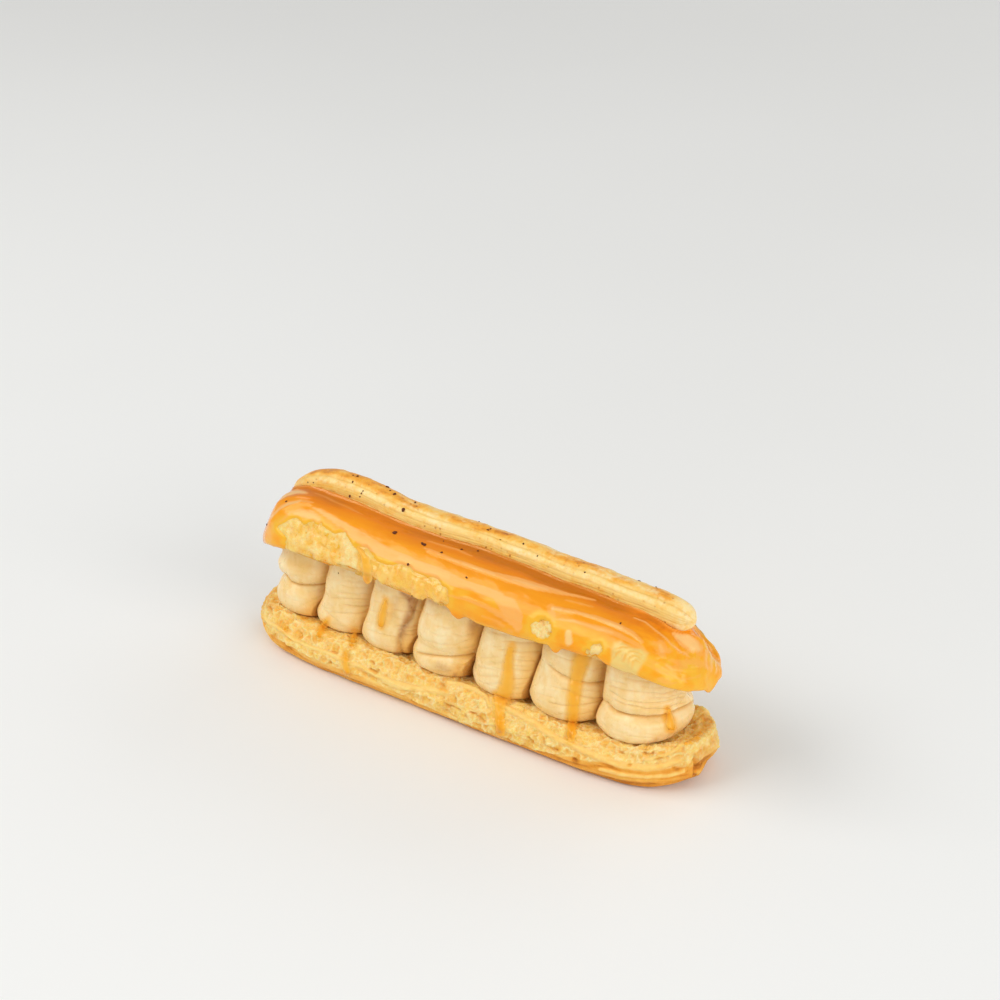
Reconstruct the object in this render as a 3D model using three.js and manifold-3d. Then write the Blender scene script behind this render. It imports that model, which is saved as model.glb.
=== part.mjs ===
// Filled choux eclair, split lengthwise: a lower half of choux, seven piped
// dollops of cream standing on it in a row, a glazed upper half that rests on
// them, and a thin rope of choux lying along its crest.
// Millimetres, +Z up. +X runs along the length. The origin is under the middle
// of the piece, at the height of the flat spot that it rests on.

import * as THREE from 'three';
import Module from 'manifold-3d';

const wasm = await Module();
wasm.setup();

// ---- Driving dimensions ----------------------------------------------------

const SHIFT_X = -0.47;         // brings the whole piece's middle over the origin
const GAP = 0.32;              // air between pieces that touch

// Lower half
const BASE_LENGTH = 150;
const BASE_WIDTH = 37;
const BASE_CENTRE_X = 0;
const BASE_TAPER_LEFT = 0.22;  // how much narrower the outline gets at each end
const BASE_TAPER_RIGHT = 0.16;
const CRUST_HEIGHT = 6.2;      // top of the browned side wall
const FLOOR_HEIGHT = 10.5;     // level that the cream stands on
const RIM_HEIGHT = 11.1;       // edge of the torn crumb along the sides
const END_RIM_RISE_LEFT = 0.7; // the rim stands higher round both ends,
const END_RIM_RISE_RIGHT = 2.4; // and the wall under it is steeper on the right
const UNDERSIDE_RADIUS = 4.7;  // rounding between underside and side wall
const BASE_END_LIFT = 2.2;     // the underside comes up at both ends
const SIDE_RIDGES = 3;         // lengthwise ridges left by the piping nozzle
const SIDE_RIDGE_DEPTH = 0.3;
const TORN_DEPTH = 0.7;        // unevenness of the torn crumb edge

// Cream
const CREAM_TOP = 34.6;        // underside of the upper half less the gap
const CREAM_LEVELS = 12;
const CREAM_SIDES = 24;
// One row a dollop: middle x and y, half length and half width at its
// widest, lean of its top along X, height of its main crease, crease depth.
const DOLLOPS = [
  { x: -57.1, y: 0.8, a: 10.5, b: 11.9, lean: 2.0, crease: 22.5, depth: 1.3 },
  { x: -41.5, y: 0.9, a: 11.5, b: 13.0, lean: 4.5, crease: 27.5, depth: 0.6 },
  { x: -24.0, y: 0.5, a: 12.0, b: 13.8, lean: 3.5, crease: 19.5, depth: 0.6 },
  { x: -4.5, y: -0.6, a: 12.5, b: 14.0, lean: 3.0, crease: 20.5, depth: 1.1 },
  { x: 15.5, y: -0.2, a: 12.5, b: 14.0, lean: 3.5, crease: 25.5, depth: 0.7 },
  { x: 34.5, y: 0.0, a: 12.5, b: 14.2, lean: 3.0, crease: 27.0, depth: 1.0 },
  { x: 54.7, y: 0.2, a: 12.5, b: 13.8, lean: 1.5, crease: 19.0, depth: 1.4 },
];

// Upper half
const LID_LENGTH = 145;
const LID_WIDTH = 34;
const LID_CENTRE_X = 3.2;
const LID_CENTRE_Y = -1.1;
const LID_BACK_TAPER = 0.34;   // the far side is cut back towards the right end
const LID_END_SQUARENESS = 0.88; // below 1 the ends are blunter than half circles
const LID_LEFT_FULLNESS = 0.6; // how much faster the top rises at the left end
const LID_UNDERSIDE = 34.95;   // flat crumb face lying on the cream
const LID_EDGE = 35.4;         // middle of the rounded lower edge
const LID_EDGE_RADIUS = 1.6;
const LID_CREST = 48.9;
const LID_HUMP_X = -45;        // the crest is higher near the left end
const LID_HUMP_RISE = 2.0;
const LID_HUMP_SPREAD = 16;
const LID_FALL_START = 8;      // from here the crest falls gently to the right
const LID_FALL = 0.045;        // millimetres a millimetre
const LID_DROOP = 6.5;         // how far both ends hang down
const LID_DROOP_START = 52;    // distance from the lid's middle where it starts

// Rope of choux on the crest
const ROPE_START_X = -63.0;
const ROPE_END_X = 69.2;
const ROPE_WIDTH = 8.1;
const ROPE_HEIGHT = 7.8;
const ROPE_Y = -1.2;
const ROPE_AXIS = 49.1;        // height of its middle line
const ROPE_FALL = 0.036;       // it falls gently to the right, as the crest does
const ROPE_HUMP_X = -41;
const ROPE_HUMP_RISE = 2.6;
const ROPE_HUMP_SPREAD = 14;
const ROPE_END_DROP = 3.2;

// Steps round an outline, along one straight side and round one end
const STRAIGHT_STEPS = 18;
const END_STEPS = 11;

// ---- Helpers -----------------------------------------------------------------

const { sin, cos, abs, min, max, sqrt, pow, exp, PI, sign } = Math;
const clamp01 = (t) => min(1, max(0, t));
const smooth = (a, b, t) => { const s = clamp01((t - a) / (b - a)); return s * s * (3 - 2 * s); };
const bump = (t, centre, spread) => exp(-(((t - centre) / spread) ** 2));
// A positive value that follows t when t is large and never falls below zero.
const softPositive = (t, k) => 0.5 * (t + sqrt(t * t + k * k));

// Uneven but repeatable: a few waves along the outline.
function wander(s, seed) {
  return 0.5 * sin(0.131 * s + 1.7 * seed) + 0.3 * sin(0.293 * s + 2.9 * seed + 1)
       + 0.2 * sin(0.571 * s + 4.3 * seed + 2);
}

// A round-ended outline, as points with their outward direction. `inset` moves
// it inwards everywhere by the same amount, down to a straight line.
// `squareness` below 1 makes the ends blunter than half circles.
function roundEnded(length, width, inset, straightSteps, endSteps, squareness = 1) {
  const radius = width / 2;
  const half = length / 2 - radius;
  const r = radius - inset;
  const points = [];
  const add = (cx, angle) => {
    const c = cos(angle), s = sin(angle);
    const bx = sign(c) * pow(abs(c), squareness), by = sign(s) * pow(abs(s), squareness);
    points.push({ x: cx + r * bx, y: r * by, nx: c, ny: s });
  };
  for (let i = 0; i <= endSteps; i++) add(half, -PI / 2 + (PI * i) / endSteps);
  for (let i = 1; i < straightSteps; i++) add(half - (2 * half * i) / straightSteps, PI / 2);
  for (let i = 0; i <= endSteps; i++) add(-half, PI / 2 + (PI * i) / endSteps);
  for (let i = 1; i < straightSteps; i++) add(-half + (2 * half * i) / straightSteps, -PI / 2);
  return points;
}

// A closed body from rings with equal numbers of points, each end closed by a
// fan to one point.
function closedBody(rings, startPoint, endPoint) {
  const n = rings[0].length;
  const position = [];
  const index = [];
  for (const ring of rings) for (const p of ring) position.push(p[0], p[1], p[2]);
  for (let k = 0; k + 1 < rings.length; k++) {
    for (let i = 0; i < n; i++) {
      const j = (i + 1) % n;
      const a = k * n + i, b = k * n + j, c = (k + 1) * n + j, d = (k + 1) * n + i;
      index.push(a, b, c, a, c, d);
    }
  }
  const s = rings.length * n;
  position.push(...startPoint, ...endPoint);
  const last = (rings.length - 1) * n;
  for (let i = 0; i < n; i++) {
    const j = (i + 1) % n;
    index.push(s, j, i);
    index.push(s + 1, last + i, last + j);
  }
  // Turn every face outwards.
  let volume = 0;
  const at = (q) => [position[3 * q], position[3 * q + 1], position[3 * q + 2]];
  for (let t = 0; t < index.length; t += 3) {
    const [ax, ay, az] = at(index[t]), [bx, by, bz] = at(index[t + 1]), [cx, cy, cz] = at(index[t + 2]);
    volume += ax * (by * cz - bz * cy) + ay * (bz * cx - bx * cz) + az * (bx * cy - by * cx);
  }
  if (volume < 0) for (let t = 0; t < index.length; t += 3) [index[t + 1], index[t + 2]] = [index[t + 2], index[t + 1]];
  const geometry = new THREE.BufferGeometry();
  geometry.setAttribute('position', new THREE.Float32BufferAttribute(position, 3));
  geometry.setIndex(index);
  geometry.computeVertexNormals();
  return geometry;
}

// ---- Lower half ----------------------------------------------------------------

const taper = (x) => 1 - (x < 0 ? BASE_TAPER_LEFT : BASE_TAPER_RIGHT) * smooth(42, 75, abs(x));

function lowerHalf() {
  const r = UNDERSIDE_RADIUS;
  // Inset and height of each ring, from the resting spot up the wall, over the
  // torn crumb, to the floor that the cream stands on.
  const profile = [];
  profile.push([r + 3.2, 0, 0]);
  for (const angle of [0, 0.3, 0.62, 0.95, 1.3]) profile.push([r - r * sin(angle), r - r * cos(angle), 0]);
  const wallSteps = 2 * SIDE_RIDGES;
  for (let i = 1; i <= wallSteps; i++) {
    const t = i / wallSteps;
    const z = r * (1 - cos(1.3)) + (CRUST_HEIGHT - r * (1 - cos(1.3))) * t;
    profile.push([0.1 + (i % 2 ? SIDE_RIDGE_DEPTH : 0), z, 0.25 * t]);
  }
  profile.push([1.3, CRUST_HEIGHT + 1.7, 1]);
  profile.push([2.4, CRUST_HEIGHT + 3.3, 1]);
  profile.push([3.2, RIM_HEIGHT, 0.8]);
  profile.push([4.0, RIM_HEIGHT - 0.2, 0.2]);
  profile.push([5.0, FLOOR_HEIGHT, 0]);
  const crumb = profile.findIndex(([, z]) => z > CRUST_HEIGHT + 0.01);
  const rings = profile.map(([inset, z, torn], k) =>
    roundEnded(BASE_LENGTH, BASE_WIDTH, inset, STRAIGHT_STEPS, END_STEPS).map((p) => {
      const end = smooth(54, 70, abs(p.x));
      const onCrumb = k >= crumb && k < profile.length - 1;
      const rough = TORN_DEPTH * torn * wander(p.x * 1.3 + p.y * 2.1, 1 + 0.4 * k);
      const endRise = p.x < 0 ? END_RIM_RISE_LEFT : END_RIM_RISE_RIGHT;
      const rise = onCrumb ? endRise * end * clamp01((z - CRUST_HEIGHT) / (FLOOR_HEIGHT - CRUST_HEIGHT)) : 0;
      const steep = onCrumb && p.x > 0 ? 0.45 * inset * end : 0;
      const lift = onCrumb && k < profile.length - 2 ? 0.4 * torn * wander(p.x * 1.9 - p.y, 3 + k) : 0;
      const underside = BASE_END_LIFT * pow(clamp01((abs(p.x) - 60) / 15), 2) * clamp01(1 - z / CRUST_HEIGHT);
      return [
        p.x + p.nx * (steep - rough) + BASE_CENTRE_X,
        (p.y + p.ny * (steep - rough)) * taper(p.x),
        z + rise + lift + (k > 0 ? underside : 0),
      ];
    }));
  return closedBody(rings, [BASE_CENTRE_X, 0, 0], [BASE_CENTRE_X, 0, FLOOR_HEIGHT]);
}

// ---- Shape of the upper half that its neighbours share --------------------------

const droop = (x) => {
  const d = abs(x - LID_CENTRE_X) - LID_DROOP_START;
  const reach = LID_LENGTH / 2 - LID_DROOP_START;
  return d > 0 ? LID_DROOP * pow(d / reach, 2.2) : 0;
};
const crest = (x) => LID_CREST + LID_HUMP_RISE * bump(x, LID_HUMP_X, LID_HUMP_SPREAD)
  - LID_FALL * softPositive(x - LID_FALL_START, 12);

// ---- Cream -----------------------------------------------------------------------

const CREAM_FOOT = FLOOR_HEIGHT + GAP;

// Where two neighbours press flat against each other: a leaning plane,
// midway between the near sides of the two, given at a height.
function pressPlane(left, right, z) {
  const t = (z - CREAM_FOOT) / (CREAM_TOP - CREAM_FOOT);
  const l = left.x + left.lean * t + left.a, r = right.x + right.lean * t - right.a;
  return 0.5 * (l + r);
}

// The tops of the outer dollops follow the underside that rests on them.
const creamDroop = (x) => droop(x) * 1.05 + 0.25 * smooth(0, 1, droop(x));

function dollop(row, left, right) {
  const height = CREAM_TOP - CREAM_FOOT;
  const rings = [];
  for (let k = 0; k <= CREAM_LEVELS; k++) {
    const t = k / CREAM_LEVELS;
    const z = CREAM_FOOT + height * t;
    // Rounded in at its foot, narrower at its top, pinched at the creases.
    const foot = 1 - 0.10 * pow(1 - clamp01(t / 0.2), 2);
    const top = 1 - 0.10 * pow(clamp01((t - 0.35) / 0.65), 1.5);
    const pinch = row.depth * bump(z, row.crease, 1.6)
      + 0.35 * row.depth * bump(z, row.crease + 5.5, 1.2)
      + 0.25 * row.depth * bump(z, row.crease - 5.0, 1.2);
    const a = row.a * foot * top - pinch, b = row.b * foot * top - pinch;
    const ring = [];
    for (let i = 0; i < CREAM_SIDES; i++) {
      const u = (2 * PI * i) / CREAM_SIDES;
      const c = cos(u), s = sin(u);
      const ripple = 0.18 * sin(3 * u + row.x) + 0.12 * sin(5 * u + 2 * t * PI + row.x);
      let x = row.x + row.lean * t + (a + ripple) * sign(c) * pow(abs(c), 0.9);
      const y = row.y + (b + ripple) * sign(s) * pow(abs(s), 0.9);
      if (right) { const p = pressPlane(row, right, z) - GAP / 2; x = p - softPositive(p - x, 1.4); }
      if (left) { const p = pressPlane(left, row, z) + GAP / 2; x = p + softPositive(x - p, 1.4); }
      ring.push([x, y, z - creamDroop(x) * t * t]);
    }
    rings.push(ring);
  }
  const topX = row.x + row.lean;
  return closedBody(rings, [row.x, row.y, CREAM_FOOT], [topX, row.y, CREAM_TOP - creamDroop(topX)]);
}

// ---- Upper half --------------------------------------------------------------------

// Height of the domed top above the lower edge, as a share, at an inset.
const domeShare = (inset) => {
  const r = LID_WIDTH / 2;
  return pow(1 - pow(abs(1 - min(inset, r) / r), 2.15), 0.62);
};

function upperHalf() {
  const r = LID_EDGE_RADIUS;
  const insets = [0.1, 0.8, 1.9, 3.4, 5.2, 7.4, 9.8, 12.4, 14.8, 16.7];
  const rings = [];
  const outline = (inset) => roundEnded(LID_LENGTH, LID_WIDTH, inset, STRAIGHT_STEPS, END_STEPS, LID_END_SQUARENESS);
  const place = (p, z, rough) => {
    const w = rough * wander(p.x * 1.1 - 2.0 * p.y, 5);
    const x = p.x - p.nx * w + LID_CENTRE_X;
    const back = p.y > 0 ? 1 - LID_BACK_TAPER * smooth(30, 76, x) : 1;
    return [x, (p.y - p.ny * w) * back + LID_CENTRE_Y, z - droop(x)];
  };
  // Underside, from its middle outwards.
  for (const inset of [16.8, 11.5, 5.6]) rings.push(outline(inset).map((p) => place(p, LID_UNDERSIDE, 0)));
  // Rounded lower edge, uneven where the glaze has run.
  for (const angle of [-1.3, -0.7, -0.1]) {
    rings.push(outline(r - r * cos(angle)).map((p) => place(p,
      LID_EDGE + r + r * sin(angle) + 0.6 * (1 + wander(p.x * 1.7 + p.y, 9)) * (angle > -0.5 ? 1 : 0.7), 0.35)));
  }
  // Domed top.
  for (const inset of insets) {
    rings.push(outline(inset).map((p) => {
      const low = LID_EDGE + 1.9;
      const full = 1 + LID_LEFT_FULLNESS * smooth(48, 66, -p.x) * (1 - inset / insets[insets.length - 1]);
      return place(p, low + (crest(p.x + LID_CENTRE_X) - low) * domeShare(inset * full), 0.35 * (1 - inset / 20));
    }));
  }
  const mid = LID_CENTRE_X;
  return closedBody(rings, [mid, LID_CENTRE_Y, LID_UNDERSIDE], [mid, LID_CENTRE_Y, crest(mid) + 0.02]);
}

// ---- Rope of choux --------------------------------------------------------------------

// `extra` makes it thicker all round, which gives the groove it lies in.
function rope(extra) {
  const steps = 34, sides = 12;
  const rings = [];
  const start = ROPE_START_X - extra, end = ROPE_END_X + extra;
  const half = (end - start) / 2, mid = (end + start) / 2;
  const height = (x) => ROPE_AXIS + ROPE_HUMP_RISE * bump(x, ROPE_HUMP_X, ROPE_HUMP_SPREAD)
    - ROPE_FALL * softPositive(x - LID_FALL_START, 12)
    - ROPE_END_DROP * (pow(clamp01((-46 - x) / 17), 2) + 0.4 * pow(clamp01((x - 56) / 14), 2));
  for (let k = 0; k <= steps; k++) {
    // Stations crowd towards the ends, where the rope closes into a dome.
    const u = -1 + (2 * k) / steps;
    const x = mid + half * 0.9995 * sin((u * PI) / 2) * (1 - 0.25 * cos((u * PI) / 2) ** 2);
    const fromEnd = half - abs(x - mid);
    const close = sqrt(1 - pow(1 - clamp01(fromEnd / (ROPE_WIDTH * 0.55)), 2));
    const thick = 1 + 0.04 * wander(x * 2.2, 2);
    const ring = [];
    for (let i = 0; i < sides; i++) {
      const a = (2 * PI * i) / sides;
      ring.push([
        x,
        ROPE_Y + 0.5 * wander(x * 0.6, 4) + (0.5 * ROPE_WIDTH * thick + extra) * close * cos(a),
        height(x) + (0.5 * ROPE_HEIGHT * thick + extra) * close * sin(a),
      ]);
    }
    rings.push(ring);
  }
  const at = (x) => [x, ROPE_Y + 0.5 * wander(x * 0.6, 4), height(x)];
  return closedBody(rings, at(start), at(end));
}

// ---- Cutting --------------------------------------------------------------------------

function toSolid(geometry) {
  return new wasm.Manifold(new wasm.Mesh({
    numProp: 3,
    vertProperties: new Float32Array(geometry.attributes.position.array),
    triVerts: new Uint32Array(geometry.index.array),
  }));
}

function toGeometry(solid) {
  const mesh = solid.getMesh();
  const geometry = new THREE.BufferGeometry();
  geometry.setAttribute('position', new THREE.Float32BufferAttribute(mesh.vertProperties, 3));
  geometry.setIndex([...mesh.triVerts]);
  geometry.computeVertexNormals();
  return geometry;
}

// ---- The piece ------------------------------------------------------------------------

const crustMaterial = new THREE.MeshStandardMaterial({ color: 0xe0a75a, roughness: 0.75, metalness: 0 });
const creamMaterial = new THREE.MeshStandardMaterial({ color: 0xe2c493, roughness: 0.5, metalness: 0 });
const glazeMaterial = new THREE.MeshStandardMaterial({ color: 0xd98a3a, roughness: 0.25, metalness: 0 });
const ropeMaterial = new THREE.MeshStandardMaterial({ color: 0xe6b35c, roughness: 0.6, metalness: 0 });

const eclair = new THREE.Group();
function addPiece(name, geometry, material) {
  const mesh = new THREE.Mesh(geometry, material.clone());
  mesh.name = name;
  mesh.position.set(SHIFT_X, 0, 0);
  eclair.add(mesh);
}

addPiece('base', lowerHalf(), crustMaterial);
DOLLOPS.forEach((row, i) => {
  addPiece('cream_' + (i + 1), dollop(row, DOLLOPS[i - 1], DOLLOPS[i + 1]), creamMaterial);
});
addPiece('lid', toGeometry(toSolid(upperHalf()).subtract(toSolid(rope(GAP)))), glazeMaterial);
addPiece('rope', rope(0), ropeMaterial);

export default eclair;
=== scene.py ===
# Filled choux eclair with coffee glaze: the looks.
#
# A lower half of choux, seven piped dollops of coffee cream, a glazed upper half
# and a rope of choux on its crest. Shapes are worked out in millimetres, in the
# part's own frame, and written to meshes in metres.

import bpy
import numpy as np
from mathutils import Matrix, Vector
from mathutils.bvhtree import BVHTree


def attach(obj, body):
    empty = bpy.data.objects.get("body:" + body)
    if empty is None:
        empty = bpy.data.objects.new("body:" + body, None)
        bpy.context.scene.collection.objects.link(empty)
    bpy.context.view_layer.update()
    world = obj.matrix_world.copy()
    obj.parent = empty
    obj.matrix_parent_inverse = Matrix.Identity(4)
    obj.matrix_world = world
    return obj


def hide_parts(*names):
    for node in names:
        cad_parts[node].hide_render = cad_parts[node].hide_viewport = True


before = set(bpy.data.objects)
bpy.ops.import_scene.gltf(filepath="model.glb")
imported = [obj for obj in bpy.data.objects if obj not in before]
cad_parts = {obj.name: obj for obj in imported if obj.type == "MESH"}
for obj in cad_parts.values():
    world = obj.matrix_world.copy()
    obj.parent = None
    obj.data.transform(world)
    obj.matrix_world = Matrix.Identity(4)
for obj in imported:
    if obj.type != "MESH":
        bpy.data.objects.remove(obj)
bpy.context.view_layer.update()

SHIFT_X = -0.47                # the shapes below are worked out this far to the right
PI = np.pi

# ---- The view: a camera on a tripod, in millimetres ---------------------------

CAMERA = np.array([323.5572, -432.4647, 324.6927])
RIGHT = np.array([0.8075145, 0.5898478, 0.0])
UP = np.array([-0.2602193, 0.3562459, 0.8974267])
FORWARD = np.array([-0.5293452, 0.7246851, -0.4411635])
FOCAL = 2274.0                 # in pixels of a frame 1000 wide and 1000 high


def to_px(p):
    d = p - CAMERA
    depth = d @ FORWARD
    return np.stack([500 + FOCAL * (d @ RIGHT) / depth, 500 - FOCAL * (d @ UP) / depth], -1)


def ray(px):
    d = FORWARD + (px[0] - 500) / FOCAL * RIGHT - (px[1] - 500) / FOCAL * UP
    return d / np.linalg.norm(d)


# ---- Numbers ---------------------------------------------------------------------

def clamp01(t):
    return np.clip(t, 0.0, 1.0)


def smooth(a, b, t):
    s = clamp01((t - a) / (b - a))
    return s * s * (3 - 2 * s)


def bump(t, centre, spread):
    return np.exp(-(((t - centre) / spread) ** 2))


def soft_positive(t, k):
    return 0.5 * (t + np.sqrt(t * t + k * k))


def wander(s, seed):
    return (0.5 * np.sin(0.131 * s + 1.7 * seed) + 0.3 * np.sin(0.293 * s + 2.9 * seed + 1)
            + 0.2 * np.sin(0.571 * s + 4.3 * seed + 2))


def cell_value(ix, iy, iz, seed):
    """A repeatable number from 0 to 1 for each cell of a grid."""
    h = (ix.astype(np.uint64) * np.uint64(374761393) + iy.astype(np.uint64) * np.uint64(668265263)
         + iz.astype(np.uint64) * np.uint64(2246822519) + np.uint64(seed * 974711 + 12345)) & np.uint64(0xFFFFFFFF)
    h = ((h ^ (h >> np.uint64(13))) * np.uint64(1274126177)) & np.uint64(0xFFFFFFFF)
    h = ((h ^ (h >> np.uint64(16))) * np.uint64(2654435761)) & np.uint64(0xFFFFFFFF)
    h = h ^ (h >> np.uint64(15))
    return (h & np.uint64(0xFFFFFF)).astype(np.float64) / float(0x1000000)


def noise(p, seed=0):
    """Smooth noise from -1 to 1 at points p, one cell to a unit."""
    base = np.floor(p)
    f = p - base
    f = f * f * f * (f * (f * 6 - 15) + 10)
    i = base.astype(np.int64) + 100000
    total = np.zeros(p.shape[:-1])
    for dx in (0, 1):
        for dy in (0, 1):
            for dz in (0, 1):
                w = ((f[..., 0] if dx else 1 - f[..., 0]) * (f[..., 1] if dy else 1 - f[..., 1])
                     * (f[..., 2] if dz else 1 - f[..., 2]))
                total += w * cell_value(i[..., 0] + dx, i[..., 1] + dy, i[..., 2] + dz, seed)
    return 2 * total - 1


def fbm(p, size, octaves=3, seed=0, gain=0.5):
    """Layers of noise, the coarsest `size` millimetres across."""
    total, weight, norm = 0.0, 1.0, 0.0
    q = p / np.asarray(size, float)
    for k in range(octaves):
        total = total + weight * noise(q + 17.3 * k, seed + 31 * k)
        norm += weight
        weight *= gain
        q = q * 2.03
    return total / norm


def cells(p, size, seed=0):
    """Distance to the nearest and next nearest of scattered points, in cells, and the nearest one's number."""
    q = p / np.asarray(size, float)
    base = np.floor(q)
    i = base.astype(np.int64) + 100000
    f1 = np.full(q.shape[:-1], 9.0)
    f2 = f1.copy()
    who = np.zeros(q.shape[:-1])
    for dx in (-1, 0, 1):
        for dy in (-1, 0, 1):
            for dz in (-1, 0, 1):
                a, b, c = i[..., 0] + dx, i[..., 1] + dy, i[..., 2] + dz
                o = np.stack([cell_value(a, b, c, seed), cell_value(a, b, c, seed + 1), cell_value(a, b, c, seed + 2)], -1)
                d = np.sqrt((((base + np.array([dx, dy, dz])) + o - q) ** 2).sum(-1))
                n = cell_value(a, b, c, seed + 3)
                near = d < f1
                f2 = np.where(near, f1, np.minimum(f2, d))
                who = np.where(near, n, who)
                f1 = np.where(near, d, f1)
    return f1, f2, who


def pores(p, size, seed=0, share=0.6):
    """Round hollows from 0 to 1 deep, of uneven size, in `share` of the cells."""
    f1, _, who = cells(p, size, seed)
    radius = np.where(who < share, 0.20 + 0.45 * (who / share), 0.0)
    return np.where(radius > 0, clamp01(1 - (f1 / np.maximum(radius, 1e-6)) ** 2), 0.0)


def inside(px, polygon):
    """Distance from the edge of a closed outline, positive inside it."""
    pts = np.asarray(polygon, float)
    nxt = np.roll(pts, -1, 0)
    shape = px.shape[:-1]
    q = px.reshape(-1, 2)
    best = np.full(len(q), 1e9)
    within = np.zeros(len(q), bool)
    for a, b in zip(pts, nxt):
        e = b - a
        w = q - a
        t = clamp01((w @ e) / max(e @ e, 1e-9))
        best = np.minimum(best, ((w - t[:, None] * e) ** 2).sum(1))
        if a[1] != b[1]:
            cross = ((a[1] > q[:, 1]) != (b[1] > q[:, 1])) & (
                q[:, 0] < (b[0] - a[0]) * (q[:, 1] - a[1]) / (b[1] - a[1]) + a[0])
            within ^= cross
    return np.where(within, 1, -1).reshape(shape) * np.sqrt(best).reshape(shape)


def oval(px, cx, cy, rx, ry):
    d = np.sqrt(((px[..., 0] - cx) / rx) ** 2 + ((px[..., 1] - cy) / ry) ** 2)
    return (1 - d) * min(rx, ry)


def near_line(px, points):
    """Distance to an open line."""
    pts = np.asarray(points, float)
    best = np.full(px.shape[:-1], 1e9)
    for a, b in zip(pts[:-1], pts[1:]):
        e = b - a
        w = px - a
        t = clamp01((w @ e) / max(e @ e, 1e-9))
        best = np.minimum(best, ((w - t[..., None] * e) ** 2).sum(-1))
    return np.sqrt(best)


# ---- Meshes -------------------------------------------------------------------------

def ring_quads(k, n):
    a = np.arange(k - 1)[:, None] * n
    i = np.arange(n)[None]
    j = (i + 1) % n
    return np.stack([a + i, a + j, a + n + j, a + n + i], -1).reshape(-1, 4)


def fan(ring_start, n, tip):
    i = np.arange(n)
    return np.stack([ring_start + i, ring_start + (i + 1) % n, np.full(n, tip)], -1)


def zip_across(ring_start, ns, ne):
    """Closes a round-ended ring straight across, front to back. ne is even."""
    h = ne // 2
    pairs = [(h - q, h + q) for q in range(h + 1)]
    left = ne + ns
    n = 2 * ns + 2 * ne
    pairs += [((left + ne + ns - j) % n, ne + j) for j in range(1, ns)]
    pairs += [(left + ne - q, left + q) for q in range(h + 1)]
    quads, tris = [], []
    for (a, b), (c, d) in zip(pairs[:-1], pairs[1:]):
        if a == b:
            tris.append((a, d, c))
        elif c == d:
            tris.append((a, b, c))
        else:
            quads.append((a, b, d, c))
    return np.array(quads) + ring_start, np.array(tris) + ring_start


def triangles(quads, tris):
    parts = []
    if len(quads):
        parts += [quads[:, [0, 1, 2]], quads[:, [0, 2, 3]]]
    if len(tris):
        parts.append(tris)
    return np.concatenate(parts)


def point_normals(v, quads, tris):
    t = triangles(quads, tris)
    n = np.cross(v[t[:, 1]] - v[t[:, 0]], v[t[:, 2]] - v[t[:, 0]])
    out = np.zeros_like(v)
    for c in range(3):
        for k in range(3):
            out[:, c] += np.bincount(t[:, k], weights=n[:, c], minlength=len(v))
    return out / (np.linalg.norm(out, axis=1, keepdims=True) + 1e-12)


def outwards(v, quads, tris):
    """Faces turned so that they point out."""
    t = triangles(quads, tris)
    volume = np.einsum("ij,ij->", v[t[:, 0]], np.cross(v[t[:, 1]], v[t[:, 2]]))
    if volume < 0:
        quads = quads[:, ::-1] if len(quads) else quads
        tris = tris[:, ::-1] if len(tris) else tris
    return quads, tris


NO_FACES = np.zeros((0, 3), int)
NO_QUADS = np.zeros((0, 4), int)


def add_mesh(name, v, quads, tris, material, values=None):
    me = bpy.data.meshes.new(name)
    me.vertices.add(len(v))
    me.vertices.foreach_set("co", ((v + np.array([SHIFT_X, 0, 0])) * 0.001).astype(np.float32).ravel())
    loops = np.concatenate([quads.ravel(), tris.ravel()]).astype(np.int32)
    me.loops.add(len(loops))
    me.loops.foreach_set("vertex_index", loops)
    nq, nt = len(quads), len(tris)
    starts = np.concatenate([np.arange(nq) * 4, nq * 4 + np.arange(nt) * 3]).astype(np.int32)
    me.polygons.add(nq + nt)
    me.polygons.foreach_set("loop_start", starts)
    me.polygons.foreach_set("use_smooth", np.ones(nq + nt, bool))
    me.update(calc_edges=True)
    me.validate()
    for key, value in (values or {}).items():
        a = me.attributes.new(key, "FLOAT", "POINT")
        a.data.foreach_set("value", np.asarray(value, np.float32).ravel())
    me.materials.append(material)
    o = bpy.data.objects.new(name, me)
    bpy.context.scene.collection.objects.link(o)
    return o


# ---- Materials ------------------------------------------------------------------------

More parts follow.
